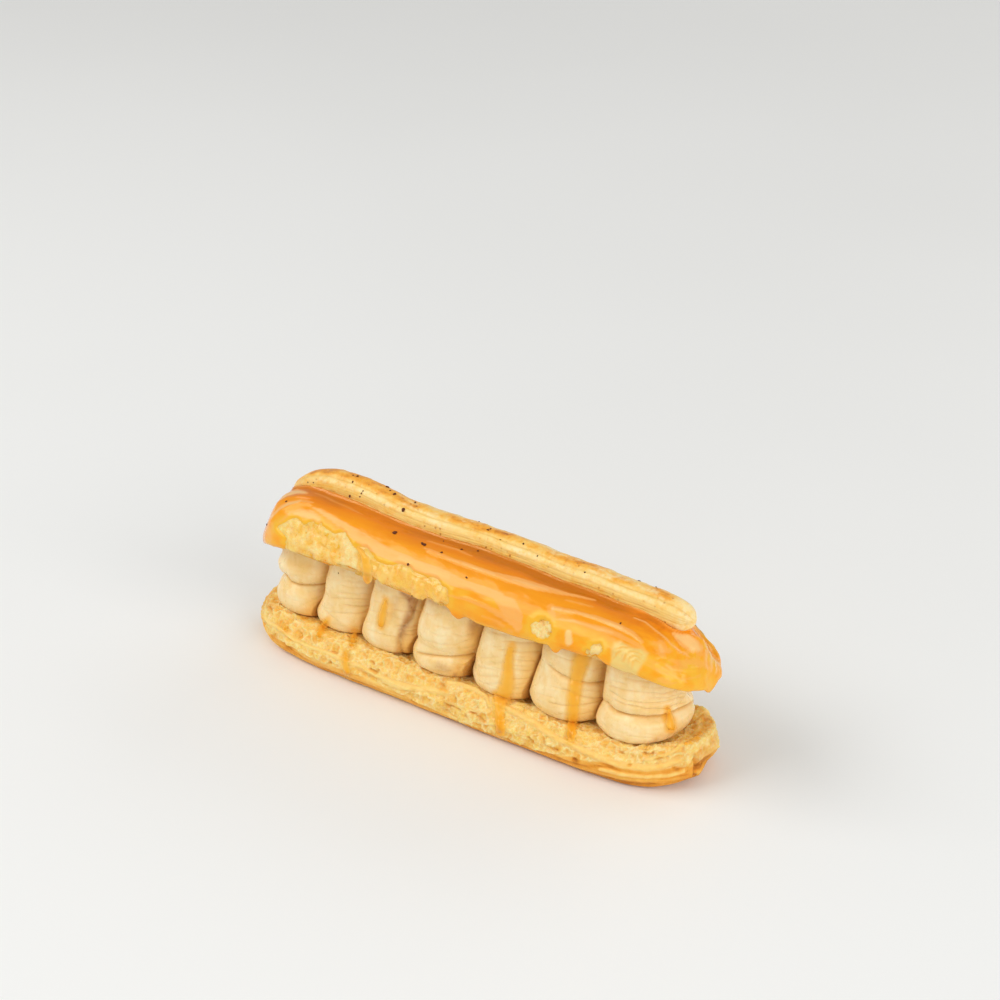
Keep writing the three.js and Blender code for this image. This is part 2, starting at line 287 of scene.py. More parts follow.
class Look:
    """A node material with a Principled shader and short ways to build what feeds it."""

    def __init__(self, name, **settings):
        self.material = bpy.data.materials.new(name)
        self.material.use_nodes = True
        self.tree = self.material.node_tree
        self.tree.nodes.clear()
        self.shader = self.tree.nodes.new("ShaderNodeBsdfPrincipled")
        out = self.tree.nodes.new("ShaderNodeOutputMaterial")
        self.tree.links.new(self.shader.outputs[0], out.inputs["Surface"])
        self.coords = self.tree.nodes.new("ShaderNodeTexCoord").outputs["Object"]
        for key, value in settings.items():
            self.shader.inputs[key.replace("_", " ")].default_value = value

    def put(self, value, socket):
        if isinstance(value, bpy.types.NodeSocket):
            self.tree.links.new(value, socket)
        elif isinstance(value, (tuple, list)) and len(value) == 3 and socket.type == "RGBA":
            socket.default_value = (*value, 1.0)
        else:
            socket.default_value = value

    def attribute(self, name):
        n = self.tree.nodes.new("ShaderNodeAttribute")
        n.attribute_type = "GEOMETRY"
        n.attribute_name = name
        return n.outputs["Fac"]

    def stretched(self, scale):
        n = self.tree.nodes.new("ShaderNodeMapping")
        n.inputs["Scale"].default_value = scale
        self.tree.links.new(self.coords, n.inputs["Vector"])
        return n.outputs[0]

    def noise(self, mm, detail=3.0, rough=0.55, stretch=None, distortion=0.0):
        n = self.tree.nodes.new("ShaderNodeTexNoise")
        n.inputs["Scale"].default_value = 1000.0 / mm
        n.inputs["Detail"].default_value = detail
        n.inputs["Roughness"].default_value = rough
        n.inputs["Distortion"].default_value = distortion
        self.tree.links.new(self.stretched(stretch) if stretch else self.coords, n.inputs["Vector"])
        return n.outputs["Fac"]

    def voronoi(self, mm, feature="F1", stretch=None):
        n = self.tree.nodes.new("ShaderNodeTexVoronoi")
        n.feature = feature
        n.inputs["Scale"].default_value = 1000.0 / mm
        self.tree.links.new(self.stretched(stretch) if stretch else self.coords, n.inputs["Vector"])
        return n.outputs["Distance"]

    def math(self, operation, a, b=0.0, clamp=False):
        n = self.tree.nodes.new("ShaderNodeMath")
        n.operation = operation
        n.use_clamp = clamp
        self.put(a, n.inputs[0])
        self.put(b, n.inputs[1])
        return n.outputs[0]

    def range(self, value, low, high, to_low=0.0, to_high=1.0):
        n = self.tree.nodes.new("ShaderNodeMapRange")
        n.interpolation_type = "SMOOTHSTEP"
        self.put(value, n.inputs["Value"])
        for key, v in zip(("From Min", "From Max", "To Min", "To Max"), (low, high, to_low, to_high)):
            n.inputs[key].default_value = v
        return n.outputs["Result"]

    def mix(self, amount, a, b, blend="MIX"):
        n = self.tree.nodes.new("ShaderNodeMix")
        n.data_type = "RGBA"
        n.blend_type = blend
        n.clamp_factor = True
        self.put(amount, n.inputs["Factor"])
        self.put(a, n.inputs["A"] if n.inputs["A"].type == "RGBA" else n.inputs[6])
        self.put(b, n.inputs["B"] if n.inputs["B"].type == "RGBA" else n.inputs[7])
        return n.outputs[2]

    def ramp(self, value, stops):
        n = self.tree.nodes.new("ShaderNodeValToRGB")
        e = n.color_ramp.elements
        while len(e) < len(stops):
            e.new(0.5)
        for k, (at, colour) in enumerate(stops):
            e[k].position = at
            e[k].color = (*colour, 1.0)
        self.put(value, n.inputs["Fac"])
        return n.outputs["Color"]

    def bumps(self, height, mm, strength=1.0, under=None):
        n = self.tree.nodes.new("ShaderNodeBump")
        n.inputs["Strength"].default_value = strength
        n.inputs["Distance"].default_value = mm * 0.001
        self.put(height, n.inputs["Height"])
        if under is not None:
            self.tree.links.new(under, n.inputs["Normal"])
        return n.outputs["Normal"]

    def set(self, **sockets):
        for key, value in sockets.items():
            self.put(value, self.shader.inputs[key.replace("_", " ")])
        return self


def glaze_look(name, thin, middle, thick, streaks=0.22):
    """Clear brown caramel over baked dough: lighter where it is thin, with painted highlights and gleams mixed into its
    colour.
    """
    m = Look(name, Roughness=0.2, IOR=1.5, Coat_Weight=0.19, Coat_Roughness=0.05, Coat_IOR=1.45,
             Subsurface_Weight=0.10, Subsurface_Scale=0.001)
    m.shader.inputs["Subsurface Radius"].default_value = (1.0, 0.45, 0.12)
    m.shader.inputs["Specular Tint"].default_value = (1.0, 0.62, 0.26, 1.0)
    m.shader.inputs["Specular IOR Level"].default_value = 0.42
    m.shader.inputs["Coat Tint"].default_value = (1.0, 0.93, 0.80, 1.0)
    depth = m.attribute("depth")
    cloud = m.noise(9.0, 3.0, stretch=(0.35, 1, 1))
    streak = m.noise(1.6, 3.0, stretch=(0.10, 1, 1))
    t = m.math("ADD", depth, m.math("MULTIPLY", m.math("SUBTRACT", cloud, 0.5), 0.45))
    t = m.math("ADD", t, m.math("MULTIPLY", m.math("SUBTRACT", streak, 0.5), streaks), clamp=True)
    colour = m.ramp(t, [(0.0, thin), (0.45, middle), (0.82, thick), (1.0, tuple(0.72 * c for c in thick))])
    # Painted highlight: the pale attribute mixes a peach gleam into the colour where the glaze catches the lamps.
    colour = m.mix(m.math("MULTIPLY", m.attribute("pale"), m.range(streak, 0.25, 0.6, 0.7, 1.0)), colour, (0.96, 0.46, 0.125))
    # Painted highlight: almost white gleams from this attribute, with a few milky patches.
    colour = m.mix(m.math("MULTIPLY", m.attribute("milk_and_highlight"), m.range(cloud, 0.3, 0.6, 0.75, 1.0)), colour, (0.93, 0.64, 0.27))
    colour = m.mix(m.math("MULTIPLY", m.attribute("skin"), m.range(streak, 0.2, 0.6, 0.8, 1.0)), colour, (0.86, 0.64, 0.215))
    m.set(Base_Color=colour, Roughness=m.range(m.noise(3.0, 3.0), 0.3, 0.75, 0.13, 0.24))
    ripple = m.math("ADD", m.noise(2.6, 2.0, stretch=(0.22, 1, 1)), m.math("MULTIPLY", m.noise(0.7, 2.0, stretch=(0.5, 1, 1)), 0.22))
    m.set(Normal=m.bumps(ripple, 0.09, 0.6))
    return m.material


GLAZE_THIN = (0.92, 0.49, 0.040)
GLAZE_MIDDLE = (0.955, 0.362, 0.012)
GLAZE_THICK = (0.80, 0.232, 0.008)
glaze_material = glaze_look("coffee_glaze", GLAZE_THIN, GLAZE_MIDDLE, GLAZE_THICK)
drip_material = glaze_look("caramel_drips", (0.95, 0.58, 0.15), (0.92, 0.48, 0.055), (0.88, 0.38, 0.02), 0.1)


def choux_look(name):
    """Baked choux: golden skin, and pale porous crumb where it is cut or torn."""
    m = Look(name, IOR=1.45, Subsurface_Weight=0.34, Subsurface_Scale=0.0018)
    m.shader.inputs["Subsurface Radius"].default_value = (1.0, 0.55, 0.2)
    m.shader.inputs["Specular Tint"].default_value = (1.0, 0.80, 0.52, 1.0)
    crumb, toast, painted_pore_shade, wet, pale_web_and_highlight = (m.attribute(k) for k in ("crumb", "toast", "painted_pore_shade", "wet", "pale_web_and_highlight"))
    cloud = m.noise(5.0, 4.0)
    fine = m.noise(0.55, 3.0, 0.6)
    blots = m.noise(2.2, 4.0, 0.65)
    skin = m.ramp(m.math("ADD", m.math("MULTIPLY", toast, 0.85), m.math("MULTIPLY", m.math("SUBTRACT", blots, 0.5), 0.5), clamp=True),
                  [(0.0, (0.97, 0.70, 0.25)), (0.30, (0.93, 0.51, 0.10)), (0.62, (0.82, 0.34, 0.035)), (1.0, (0.42, 0.12, 0.012))])
    inner = m.ramp(m.math("ADD", m.math("MULTIPLY", blots, 0.75), m.math("MULTIPLY", fine, 0.35), clamp=True),
                   [(0.32, (0.94, 0.54, 0.09)), (0.50, (0.98, 0.67, 0.18)), (0.74, (0.995, 0.84, 0.42))])
    small = m.range(m.voronoi(1.25, "DISTANCE_TO_EDGE"), 0.03, 0.26)
    tiny = m.range(m.voronoi(0.60, "DISTANCE_TO_EDGE"), 0.03, 0.26)
    some = m.range(m.noise(1.9, 2.0), 0.44, 0.60)
    holes = m.math("MAXIMUM", m.math("MULTIPLY", small, some), m.math("MULTIPLY", tiny, 0.40))
    holes = m.math("MULTIPLY", holes, crumb)
    # Painted highlight: paler on the thin walls between bubbles and on the tops of lumps, with some pale crumb too.
    inner = m.mix(m.math("MULTIPLY", pale_web_and_highlight, 0.45, clamp=True), inner, (1.0, 0.86, 0.50))
    # Painted shade: darker orange in the small holes and in the pores and hollows of the crumb.
    inner = m.mix(m.math("MULTIPLY", holes, 0.32), inner, (0.92, 0.49, 0.08))
    inner = m.mix(m.math("MULTIPLY", painted_pore_shade, 0.62, clamp=True), inner, (0.94, 0.43, 0.04))
    inner = m.mix(m.math("MULTIPLY", toast, 0.85, clamp=True), inner, (0.70, 0.27, 0.025))
    colour = m.mix(crumb, skin, inner)
    soaked = m.ramp(blots, [(0.35, (0.91, 0.42, 0.022)), (0.6, (0.93, 0.53, 0.065))])
    colour = m.mix(m.math("MULTIPLY", wet, 0.85), colour, soaked)
    rough = m.math("SUBTRACT", m.range(fine, 0.3, 0.7, 0.55, 0.80), m.math("MULTIPLY", wet, 0.42), clamp=True)
    m.set(Base_Color=colour, Roughness=rough, Coat_Weight=m.math("MULTIPLY", wet, 0.5))
    m.shader.inputs["Coat Roughness"].default_value = 0.12
    dry = m.math("SUBTRACT", 1.0, m.math("MULTIPLY", wet, 0.7))
    low = m.bumps(m.math("MULTIPLY", m.math("SUBTRACT", m.math("MULTIPLY", fine, 0.5), holes), dry), 0.14, 1.0)
    skin_lines = m.math("MULTIPLY", m.noise(0.9, 3.0, stretch=(0.12, 1, 1)), m.math("SUBTRACT", 1.0, crumb))
    m.set(Normal=m.bumps(skin_lines, 0.22, 0.9, under=low))
    return m.material


choux_material = choux_look("choux")


def rope_look():
    m = Look("choux_rope", IOR=1.45, Subsurface_Weight=0.15, Subsurface_Scale=0.0014, Coat_Weight=0.16, Coat_Roughness=0.2)
    m.shader.inputs["Subsurface Radius"].default_value = (1.0, 0.5, 0.2)
    m.shader.inputs["Specular Tint"].default_value = (1.0, 0.78, 0.46, 1.0)
    toast, pale, groove = (m.attribute(k) for k in ("toast", "pale", "groove"))
    cloud = m.noise(4.2, 5.0, 0.65, stretch=(0.6, 1, 1))
    mottle = m.noise(1.5, 4.0, 0.6)
    fine = m.noise(0.8, 3.0, 0.6)
    t = m.math("ADD", toast, m.math("MULTIPLY", m.math("SUBTRACT", cloud, 0.5), 1.9))
    t = m.math("ADD", t, m.math("MULTIPLY", m.math("SUBTRACT", mottle, 0.5), 0.7), clamp=True)
    colour = m.ramp(t, [(0.0, (0.96, 0.64, 0.20)), (0.28, (0.95, 0.53, 0.10)), (0.55, (0.91, 0.40, 0.04)), (1.0, (0.60, 0.18, 0.01))])
    # Painted highlight: the pale attribute lightens the band on the near side, the rim along the top and the right end.
    colour = m.mix(m.math("MULTIPLY", pale, m.range(mottle, 0.40, 0.60, 1.0, 0.35)), colour, (0.97, 0.75, 0.37))
    # Painted shade: darker colour in the lengthwise grooves.
    colour = m.mix(m.math("MULTIPLY", groove, 0.50, clamp=True), colour, (0.74, 0.40, 0.05))
    spots = m.math("MULTIPLY", m.range(m.voronoi(1.7), 0.09, 0.26, 1.0, 0.0), m.range(cloud, 0.46, 0.60))
    colour = m.mix(m.math("MULTIPLY", m.math("MULTIPLY", spots, m.math("SUBTRACT", 1.0, pale)), 0.8), colour, (0.46, 0.13, 0.012))
    m.set(Base_Color=colour, Roughness=m.range(fine, 0.3, 0.7, 0.33, 0.50))
    lines = m.math("ADD", m.noise(0.8, 2.0, stretch=(0.06, 1, 1)), m.math("MULTIPLY", fine, 0.9))
    lines = m.math("SUBTRACT", lines, m.math("MULTIPLY", spots, 1.2))
    m.set(Normal=m.bumps(lines, 0.14, 0.9))
    return m.material


rope_material = rope_look()


def cream_look():
    m = Look("coffee_cream", IOR=1.42, Subsurface_Weight=0.25, Subsurface_Scale=0.0016)
    m.shader.inputs["Subsurface Radius"].default_value = (1.0, 0.62, 0.28)
    m.shader.inputs["Specular Tint"].default_value = (1.0, 0.93, 0.80, 1.0)
    stain_and_shade, painted_fold_shade, gold = m.attribute("stain_and_shade"), m.attribute("painted_fold_shade"), m.attribute("gold")
    cloud = m.noise(6.0, 4.0)
    veins = m.noise(2.4, 3.0, stretch=(1.0, 1.0, 0.4))
    shade = m.math("ADD", m.math("MULTIPLY", cloud, 0.6), m.math("MULTIPLY", veins, 0.4))
    colour = m.ramp(shade, [(0.34, (0.885, 0.605, 0.225)), (0.50, (0.935, 0.69, 0.33)), (0.64, (0.975, 0.79, 0.46))])
    # Painted shade: darker, browner colour in the creases.
    colour = m.mix(m.math("MULTIPLY", painted_fold_shade, 0.7, clamp=True), colour, (0.78, 0.43, 0.09))
    # Brown stains, with some painted shade down the third dollop's right side and at its foot beside the gap.
    brown = m.math("MULTIPLY", stain_and_shade, m.range(m.noise(1.8, 4.0), 0.25, 0.6, 0.5, 1.0), clamp=True)
    colour = m.mix(brown, colour, (0.44, 0.17, 0.045))
    colour = m.mix(gold, colour, (0.92, 0.47, 0.05))
    # Painted shade: warmer, more golden colour on the sides beside each seam.
    colour = m.mix(m.attribute("painted_warm_shade"), colour, (0.93, 0.54, 0.125))
    # Painted shade: near brown-black in the deepest creases, round the foot and in the seams between dollops.
    colour = m.mix(m.math("MULTIPLY", m.attribute("deep"), 0.85, clamp=True), colour, (0.48, 0.20, 0.035))
    m.set(Base_Color=colour, Roughness=m.range(m.noise(2.0, 3.0), 0.3, 0.7, 0.24, 0.40))
    lines = m.math("ADD", m.noise(0.9, 2.0, stretch=(0.10, 0.10, 1.0)), m.math("MULTIPLY", m.noise(0.5, 2.0), 0.15))
    m.set(Normal=m.bumps(lines, 0.11, 0.8))
    return m.material


cream_material = cream_look()


def speck_look():
    m = Look("coffee_specks", Roughness=0.7, IOR=1.3)
    m.set(Base_Color=m.ramp(m.noise(0.4, 2.0), [(0.3, (0.070, 0.020, 0.007)), (0.7, (0.19, 0.055, 0.018))]))
    m.set(Normal=m.bumps(m.noise(0.15, 2.0), 0.05, 1.0))
    return m.material


speck_material = speck_look()


# ---- Outlines -------------------------------------------------------------------------

def stadium(length, width, insets, ns, ne, squareness=1.0):
    """Round-ended outlines, one row for each inset, with their outward directions."""
    radius = width / 2
    half = length / 2 - radius
    turn = PI * np.arange(ne + 1) / ne
    run = np.arange(1, ns) / ns
    u = np.concatenate([-PI / 2 + turn, np.full(ns - 1, PI / 2), PI / 2 + turn, np.full(ns - 1, -PI / 2)])
    cx = np.concatenate([np.full(ne + 1, half), half - 2 * half * run, np.full(ne + 1, -half), -half + 2 * half * run])
    c, s = np.cos(u), np.sin(u)
    bx = np.sign(c) * np.abs(c) ** squareness
    by = np.sign(s) * np.abs(s) ** squareness
    r = radius - np.asarray(insets, float)[:, None]
    one = np.ones((len(r), 1))
    return cx + r * bx, r * by, one * c, one * s


def along(points, x):
    """A value along X from a few (x, value) pairs, smoothly joined."""
    xs, ys = np.array(points, float).T
    i = np.clip(np.searchsorted(xs, x) - 1, 0, len(xs) - 2)
    t = clamp01((x - xs[i]) / (xs[i + 1] - xs[i]))
    t = t * t * (3 - 2 * t)
    return ys[i] * (1 - t) + ys[i + 1] * t


# ---- Lower half --------------------------------------------------------------------------

BASE_LENGTH, BASE_WIDTH = 150.0, 37.0
CRUST_HEIGHT, FLOOR_HEIGHT, RIM_HEIGHT = 6.2, 10.5, 11.1
UNDERSIDE_RADIUS = 4.7

# How high the browned crust reaches on the near side, along X
CRUST_TOP = [(-76, 5.2), (-66, 4.9), (-52, 4.6), (-40, 4.3), (-31, 4.7), (-20, 4.6), (-12, 4.2), (-5, 2.9),
             (5, 2.5), (15, 2.7), (25, 2.7), (35, 3.0), (40, 4.2), (45, 5.6), (52, 6.2), (60, 6.4), (66, 6.6), (76, 7.2)]

# Rolled ridges on the near side: line in the frame, height, half width in pixels
ROLLS = [([(448, 683), (462, 685), (478, 690), (486, 697), (489, 706)], 0.50, 1.5),
         ([(385, 680), (400, 686.5), (420, 689), (447, 692.5)], 0.45, 2.2),
         ([(504.3, 706.5), (517.4, 713), (537, 726), (556.5, 739), (571.3, 744), (582.7, 750.5), (594, 755), (605.4, 760.3), (619, 764.8),
           (632.6, 767.1), (646.2, 768.2), (659.8, 767.1), (668.8, 763.7), (678, 760.3)], 0.55, 2.3),
         ([(263.4, 616), (270.4, 623.2), (281.7, 630.2), (294.3, 639.4), (311.2, 647), (325.2, 651.3), (339.3, 658.3), (351.9, 663.9),
           (361.7, 666.7), (374.4, 674.5), (385.6, 678.7), (402.5, 683.6), (416.5, 688.5)], 0.34, 1.5),
         ([(600, 769), (620, 774), (645, 777), (668, 775.6), (684, 771)], 0.30, 1.3),
         ([(646, 760), (662, 757), (676, 750), (684, 741)], 0.25, 1.2)]


def webbed(v, size, seed, open_share=0.6):
    """Torn crumb: thin walls between open bubbles. 0 in a bubble's middle, 1 on a wall; and each bubble's number."""
    f1, f2, who = cells(v, size, seed)
    wall = np.exp(-((f2 - f1) / 0.16) ** 2)
    return np.where(who < open_share, wall, 0.75 + 0.25 * wall), who


def lower_half():
    ns, ne = 300, 110
    r = UNDERSIDE_RADIUS
    profile = [(d, 0.0) for d in (18.25, 15.0, 12.0, 9.8, 8.4, 7.2, 6.1, 5.3)]
    profile += [(r - r * np.sin(a), r - r * np.cos(a)) for a in np.linspace(0, 1.3, 15)]
    foot = profile[-1][1]
    corners = [(0.12, foot), (0.1, CRUST_HEIGHT), (1.2, CRUST_HEIGHT + 1.9), (2.3, CRUST_HEIGHT + 3.4),
               (3.2, RIM_HEIGHT - 0.5), (4.2, RIM_HEIGHT), (6.0, FLOOR_HEIGHT + 0.6)]
    for (d0, z0), (d1, z1) in zip(corners[:-1], corners[1:]):
        n = max(2, int(round(np.hypot(d1 - d0, z1 - z0) / 0.31)))
        profile += [(d0 + (d1 - d0) * k / n, z0 + (z1 - z0) * k / n) for k in range(1, n + 1)]
    profile += [(d, FLOOR_HEIGHT + 0.6 * smooth(9.5, 6.0, d)) for d in np.concatenate([np.arange(6.4, 10.0, 0.4), np.linspace(10.4, 18.25, 12)])]
    inset = np.array([p[0] for p in profile])
    level = np.array([p[1] for p in profile])[:, None]
    x, y, nx, ny = stadium(BASE_LENGTH, BASE_WIDTH, inset, ns, ne)
    on_floor = (inset[:, None] > 3.3) & (level > 9)
    slope = smooth(CRUST_HEIGHT, CRUST_HEIGHT + 1.7, level)      # 0 on the wall, 1 on the crumb
    torn = slope * np.where(on_floor, smooth(8.5, 4.0, inset[:, None]), 1.0)
    end = smooth(54, 70, np.abs(x))
    rough = 0.8 * torn * fbm(np.stack([x * 0.9 + y * 0.6, y, level + 0 * x], -1), (6.0, 6.0, 4.0), 3, 11)
    rise = np.where(x < 0, 0.7, 2.4) * end * clamp01((level - CRUST_HEIGHT) / (FLOOR_HEIGHT - CRUST_HEIGHT)) * smooth(7.6, 3.4, inset[:, None])
    rise = rise * smooth(CRUST_HEIGHT - 0.1, CRUST_HEIGHT, level)
    rise = rise + torn * (0.55 * fbm(np.stack([x, y, 0 * x], -1), (5.0, 5.0, 5.0), 2, 12) + 0.25 * fbm(np.stack([x, y, 0 * x], -1), 1.9, 2, 13))
    steep = np.where(x > 0, 0.45 * np.minimum(inset[:, None], 4.0) * end, 0.0) * slope * smooth(7.0, 3.6, inset[:, None])
    under = np.where(x < 0, 2.2, 2.7) * clamp01((np.abs(x) - 60) / 15) ** 2 * clamp01(1 - level / CRUST_HEIGHT) * (inset[:, None] < 7.5)
    taper = 1 - np.where(x < 0, 0.22, 0.16) * smooth(42, 75, np.abs(x))
    px_ = x + nx * (steep - rough)
    py_ = (y + ny * (steep - rough)) * taper
    pz_ = level + rise + under + 0 * x
    v = np.stack([px_, py_, pz_], -1)
    k, n = x.shape
    quads = ring_quads(k, n)
    q0, t0 = zip_across(0, ns, ne)
    q1, t1 = zip_across((k - 1) * n, ns, ne)
    quads = np.concatenate([quads, q0[:, ::-1], q1])
    tris = np.concatenate([t0[:, ::-1], t1])
    nor = point_normals(v.reshape(-1, 3), quads, tris).reshape(v.shape)
    if nor[2, 10, 2] > 0:
        nor = -nor
    px = to_px(v)
    facing = smooth(0.0, 0.25, nor @ -FORWARD)
    # Where crust gives way to crumb
    crust_top = np.where(ny < 0, along(CRUST_TOP, x), 5.4 + 1.4 * wander(x * 1.3, 21))
    crust_top = np.where(np.abs(x) > 66, np.where(x < 0, 5.2, 6.8), crust_top)
    crust_top = crust_top + 0.45 * fbm(v, 6.0, 2, 5) + 0.35 * fbm(v, 1.8, 2, 6)
    up = np.where(on_floor, 5.0, level - crust_top)
    rolled = np.zeros_like(x)
    raised = np.zeros_like(x)
    wavy = px + 1.2 * np.stack([fbm(v, 5.0, 2, 14), fbm(v, 5.0, 2, 15)], -1)
    for points, tall, wide in ROLLS:
        near = near_line(wavy, points)
        rolled = np.maximum(rolled, smooth(wide * 1.9, wide * 0.9, near) * facing)
        raised = raised + tall * np.exp(-(near / wide) ** 2) * facing
    crumb = smooth(-0.12, 0.25, up)
    crumb = crumb * (1 - rolled)
    crust = 1 - crumb
    # Crumb: bubbles of several sizes, small lumps, and calm stretches between
    calm = smooth(0.05, 0.45, fbm(v, (16, 9, 9), 2, 77))
    big = pores(v, (4.2, 3.4, 3.4), 40, 0.20)
    walls, who = webbed(v, (2.9, 2.4, 2.4), 43, 0.55)
    walls2, who2 = webbed(v, 1.35, 53, 0.7)
    depth = crumb * (1 - 0.55 * calm)
    d = -depth * (0.75 * big + 0.55 * (1 - walls) + 0.30 * (1 - walls2) - 0.30)
    d += crumb * (0.35 * fbm(v, 5.0, 2, 70) + 0.15 * fbm(v, 1.0, 3, 71))
    d += raised
    # A thin torn lip stands along the top of the crust
    lip = np.exp(-((up - 0.35) / 0.38) ** 2) * (level > 1.5)
    d += lip * (0.22 + 0.35 * fbm(v, (3.5, 3.5, 2.0), 2, 72)) * (1 - 0.6 * calm)
    # Crust: lengthwise ridges with narrow grooves between, a little uneven
    height = level + 0.9 * fbm(v, (22, 10, 10), 2, 73)
    line1 = noise(np.stack([x / 34, y / 34, height / 1.45], -1), 741)
    line2 = noise(np.stack([x / 16, y / 16, height / 0.8], -1), 742)
    grooves = np.exp(-np.abs(line1) / 0.16) + 0.45 * np.exp(-np.abs(line2) / 0.18)
    d += crust * (level > 0.2) * (-0.48 * grooves * smooth(0.3, 1.4, level) * (1 - 0.8 * rolled) + 0.26 * fbm(v, (6, 3, 3), 3, 74) + 0.12)
    d *= smooth(0.0, 0.8, level)                        # the flat spot stays flat
    # Named hollows and cracks on the near side
    holes = np.zeros_like(x)
    for pts, w in (([(478.6, 716.5), (481, 720.5), (483.5, 722)], 1.8), ([(528.6, 737), (531, 740), (533.5, 743.3)], 1.5),
                   ([(440.5, 683), (443, 685)], 1.8), ([(574, 758.8), (576, 760)], 1.8), ([(697.5, 768), (699.5, 766)], 2.3),
                   ([(269, 607), (271.5, 610)], 1.6), ([(332, 651.2), (336, 652.6)], 1.4), ([(344.5, 655.6), (346.5, 658)], 1.2),
                   ([(446, 705.3), (449, 707)], 1.6), ([(411.5, 700.6), (413, 701.4)], 1.2), ([(370, 669), (376, 673)], 1.4),
                   ([(552, 749), (556, 751)], 1.3), ([(620.5, 752), (623, 753)], 1.6), ([(628.5, 764.5), (631, 765)], 1.4),
                   ([(644, 752), (648, 754), (654, 753)], 1.6), ([(656, 759), (662, 758)], 1.2), ([(371.5, 661.5), (374, 664)], 1.2),
                   ([(444, 703), (452, 706), (460, 710)], 1.0), ([(470, 712), (476, 714)], 1.0)):
        holes = np.maximum(holes, smooth(w * 1.25, w * 0.25, near_line(px, pts)) * facing)
    d -= 0.75 * holes
    # The right end: its near corner is torn, the wall beyond leans in and is drawn out in slanting folds
    corner = smooth(11.0, 3.0, np.sqrt((px[..., 0] - 691) ** 2 + (px[..., 1] - 780) ** 2)) * facing
    d += corner * (0.75 * fbm(v, 1.5, 3, 79, 0.6) + 0.1)
    tear = np.exp(-(near_line(px, [(694.5, 753.5), (696.4, 767), (693.4, 779)]) / 1.6) ** 2) * facing
    d -= 0.9 * tear
    lean = smooth(1.5, 0.2, np.sqrt(((px[..., 0] - 714) / 14) ** 2 + ((px[..., 1] - 764) / 13) ** 2)) * smooth(-0.5, 0.0, nor @ -FORWARD)
    d -= 1.5 * lean
    slant = noise(np.stack([(px[..., 0] * 0.8 + px[..., 1] * 0.6) / 3.6, (px[..., 1] * 0.8 - px[..., 0] * 0.6) / 22, 0 * x], -1), 743)
    wall = smooth(694, 699, px[..., 0]) * facing * (level > 1.0) * (~on_floor)
    d += 0.35 * wall * slant
    v = v + nor * d[..., None]
    v[..., 2] = np.maximum(v[..., 2], 0.0)
    past = np.abs(v[..., 1]) - 18.35                     # never wider than the solid it stands for
    v[..., 1] = np.where(past > 0, np.sign(v[..., 1]) * (18.35 + 0.6 * np.tanh(past / 0.6)), v[..., 1])
    # Browning, with painted shade in the crust's grooves
    toast = crust * (0.16 + 0.34 * smooth(3.0, 0.6, level) + 0.50 * clamp01(grooves) * smooth(0.4, 1.4, level)
                     + 0.22 * fbm(v, (14, 5, 5), 2, 80) + 0.13 * smooth(-25, 5, x) + 0.12 * smooth(45, 60, x))
    toast = toast * (1 - 0.75 * rolled * smooth(1.2, 2.2, level))
    for cx, cy, rx, ry, a in ((275, 636, 5, 4, 0.5), (289, 648, 5, 3, 0.35), (262, 622, 3, 6, 0.3), (271, 604, 5, 7, 0.35),
                              (346, 659, 5, 7, 0.4), (347, 672, 6, 5, 0.5), (443, 686, 5, 6, 0.35), (448, 706, 6, 5, 0.35),
                              (465, 750, 14, 3, 0.25), (576, 760, 4, 4, 0.6), (699, 766, 6, 6, 0.5), (706, 752, 6, 12, 0.15),
                              (690, 778, 8, 6, 0.3), (700, 700, 8, 8, 0.45), (711, 719, 6, 7, 0.4)):
        toast = toast + a * smooth(1.6, 0.2, np.sqrt(((px[..., 0] - cx) / rx) ** 2 + ((px[..., 1] - cy) / ry) ** 2)) * facing
    toast = toast + crumb * 0.40 * smooth(64, 73, np.abs(x)) * smooth(-0.1, 0.5, fbm(v, 3.2, 2, 81))
    toast = toast + crumb * 0.22 * smooth(-66, -72, x)
    # Painted shade: the named hollows and the tear are browned darker.
    toast = toast + crumb * 0.14 * smooth(0.3, 0.6, fbm(v, 6.0, 2, 82)) + 0.4 * holes + 0.35 * tear
    # Painted shade in the bubbles and the named hollows.
    painted_pore_shade = clamp01(depth * (0.7 * big + 0.55 * (1 - walls) * (who < 0.55) + 0.45 * (1 - walls2) * (who2 < 0.7)) + 0.9 * holes)
    gold = 0.9 * gold_near(px + 1.5 * np.stack([fbm(v, 3.0, 2, 84), fbm(v, 3.0, 2, 85)], -1), 5.0) * facing
    for pts, w in (([(686, 741), (697, 736), (703, 731)], 6.0), ([(300, 616), (312, 622)], 4.0), ([(325, 630), (332, 640)], 5.0), ([(350, 640), (356, 648)], 5.0)):
        gold = np.maximum(gold, 0.75 * smooth(w, w * 0.3, near_line(px, pts)) * facing)
    wet = np.maximum(crumb * 0.16 * calm, gold)
    # Painted highlight on the thin walls between bubbles.
    pale_web_and_highlight = crumb * clamp01(0.9 * walls * (who < 0.55) + 0.6 * walls2 * (who2 < 0.7) * (walls > 0.3))
    return add_mesh("lower_half", v.reshape(-1, 3), *outwards(v.reshape(-1, 3), quads, tris), choux_material,
                    {"crumb": crumb, "toast": clamp01(toast), "painted_pore_shade": painted_pore_shade, "wet": clamp01(wet), "pale_web_and_highlight": pale_web_and_highlight})


# ---- Cream ----------------------------------------------------------------------------------

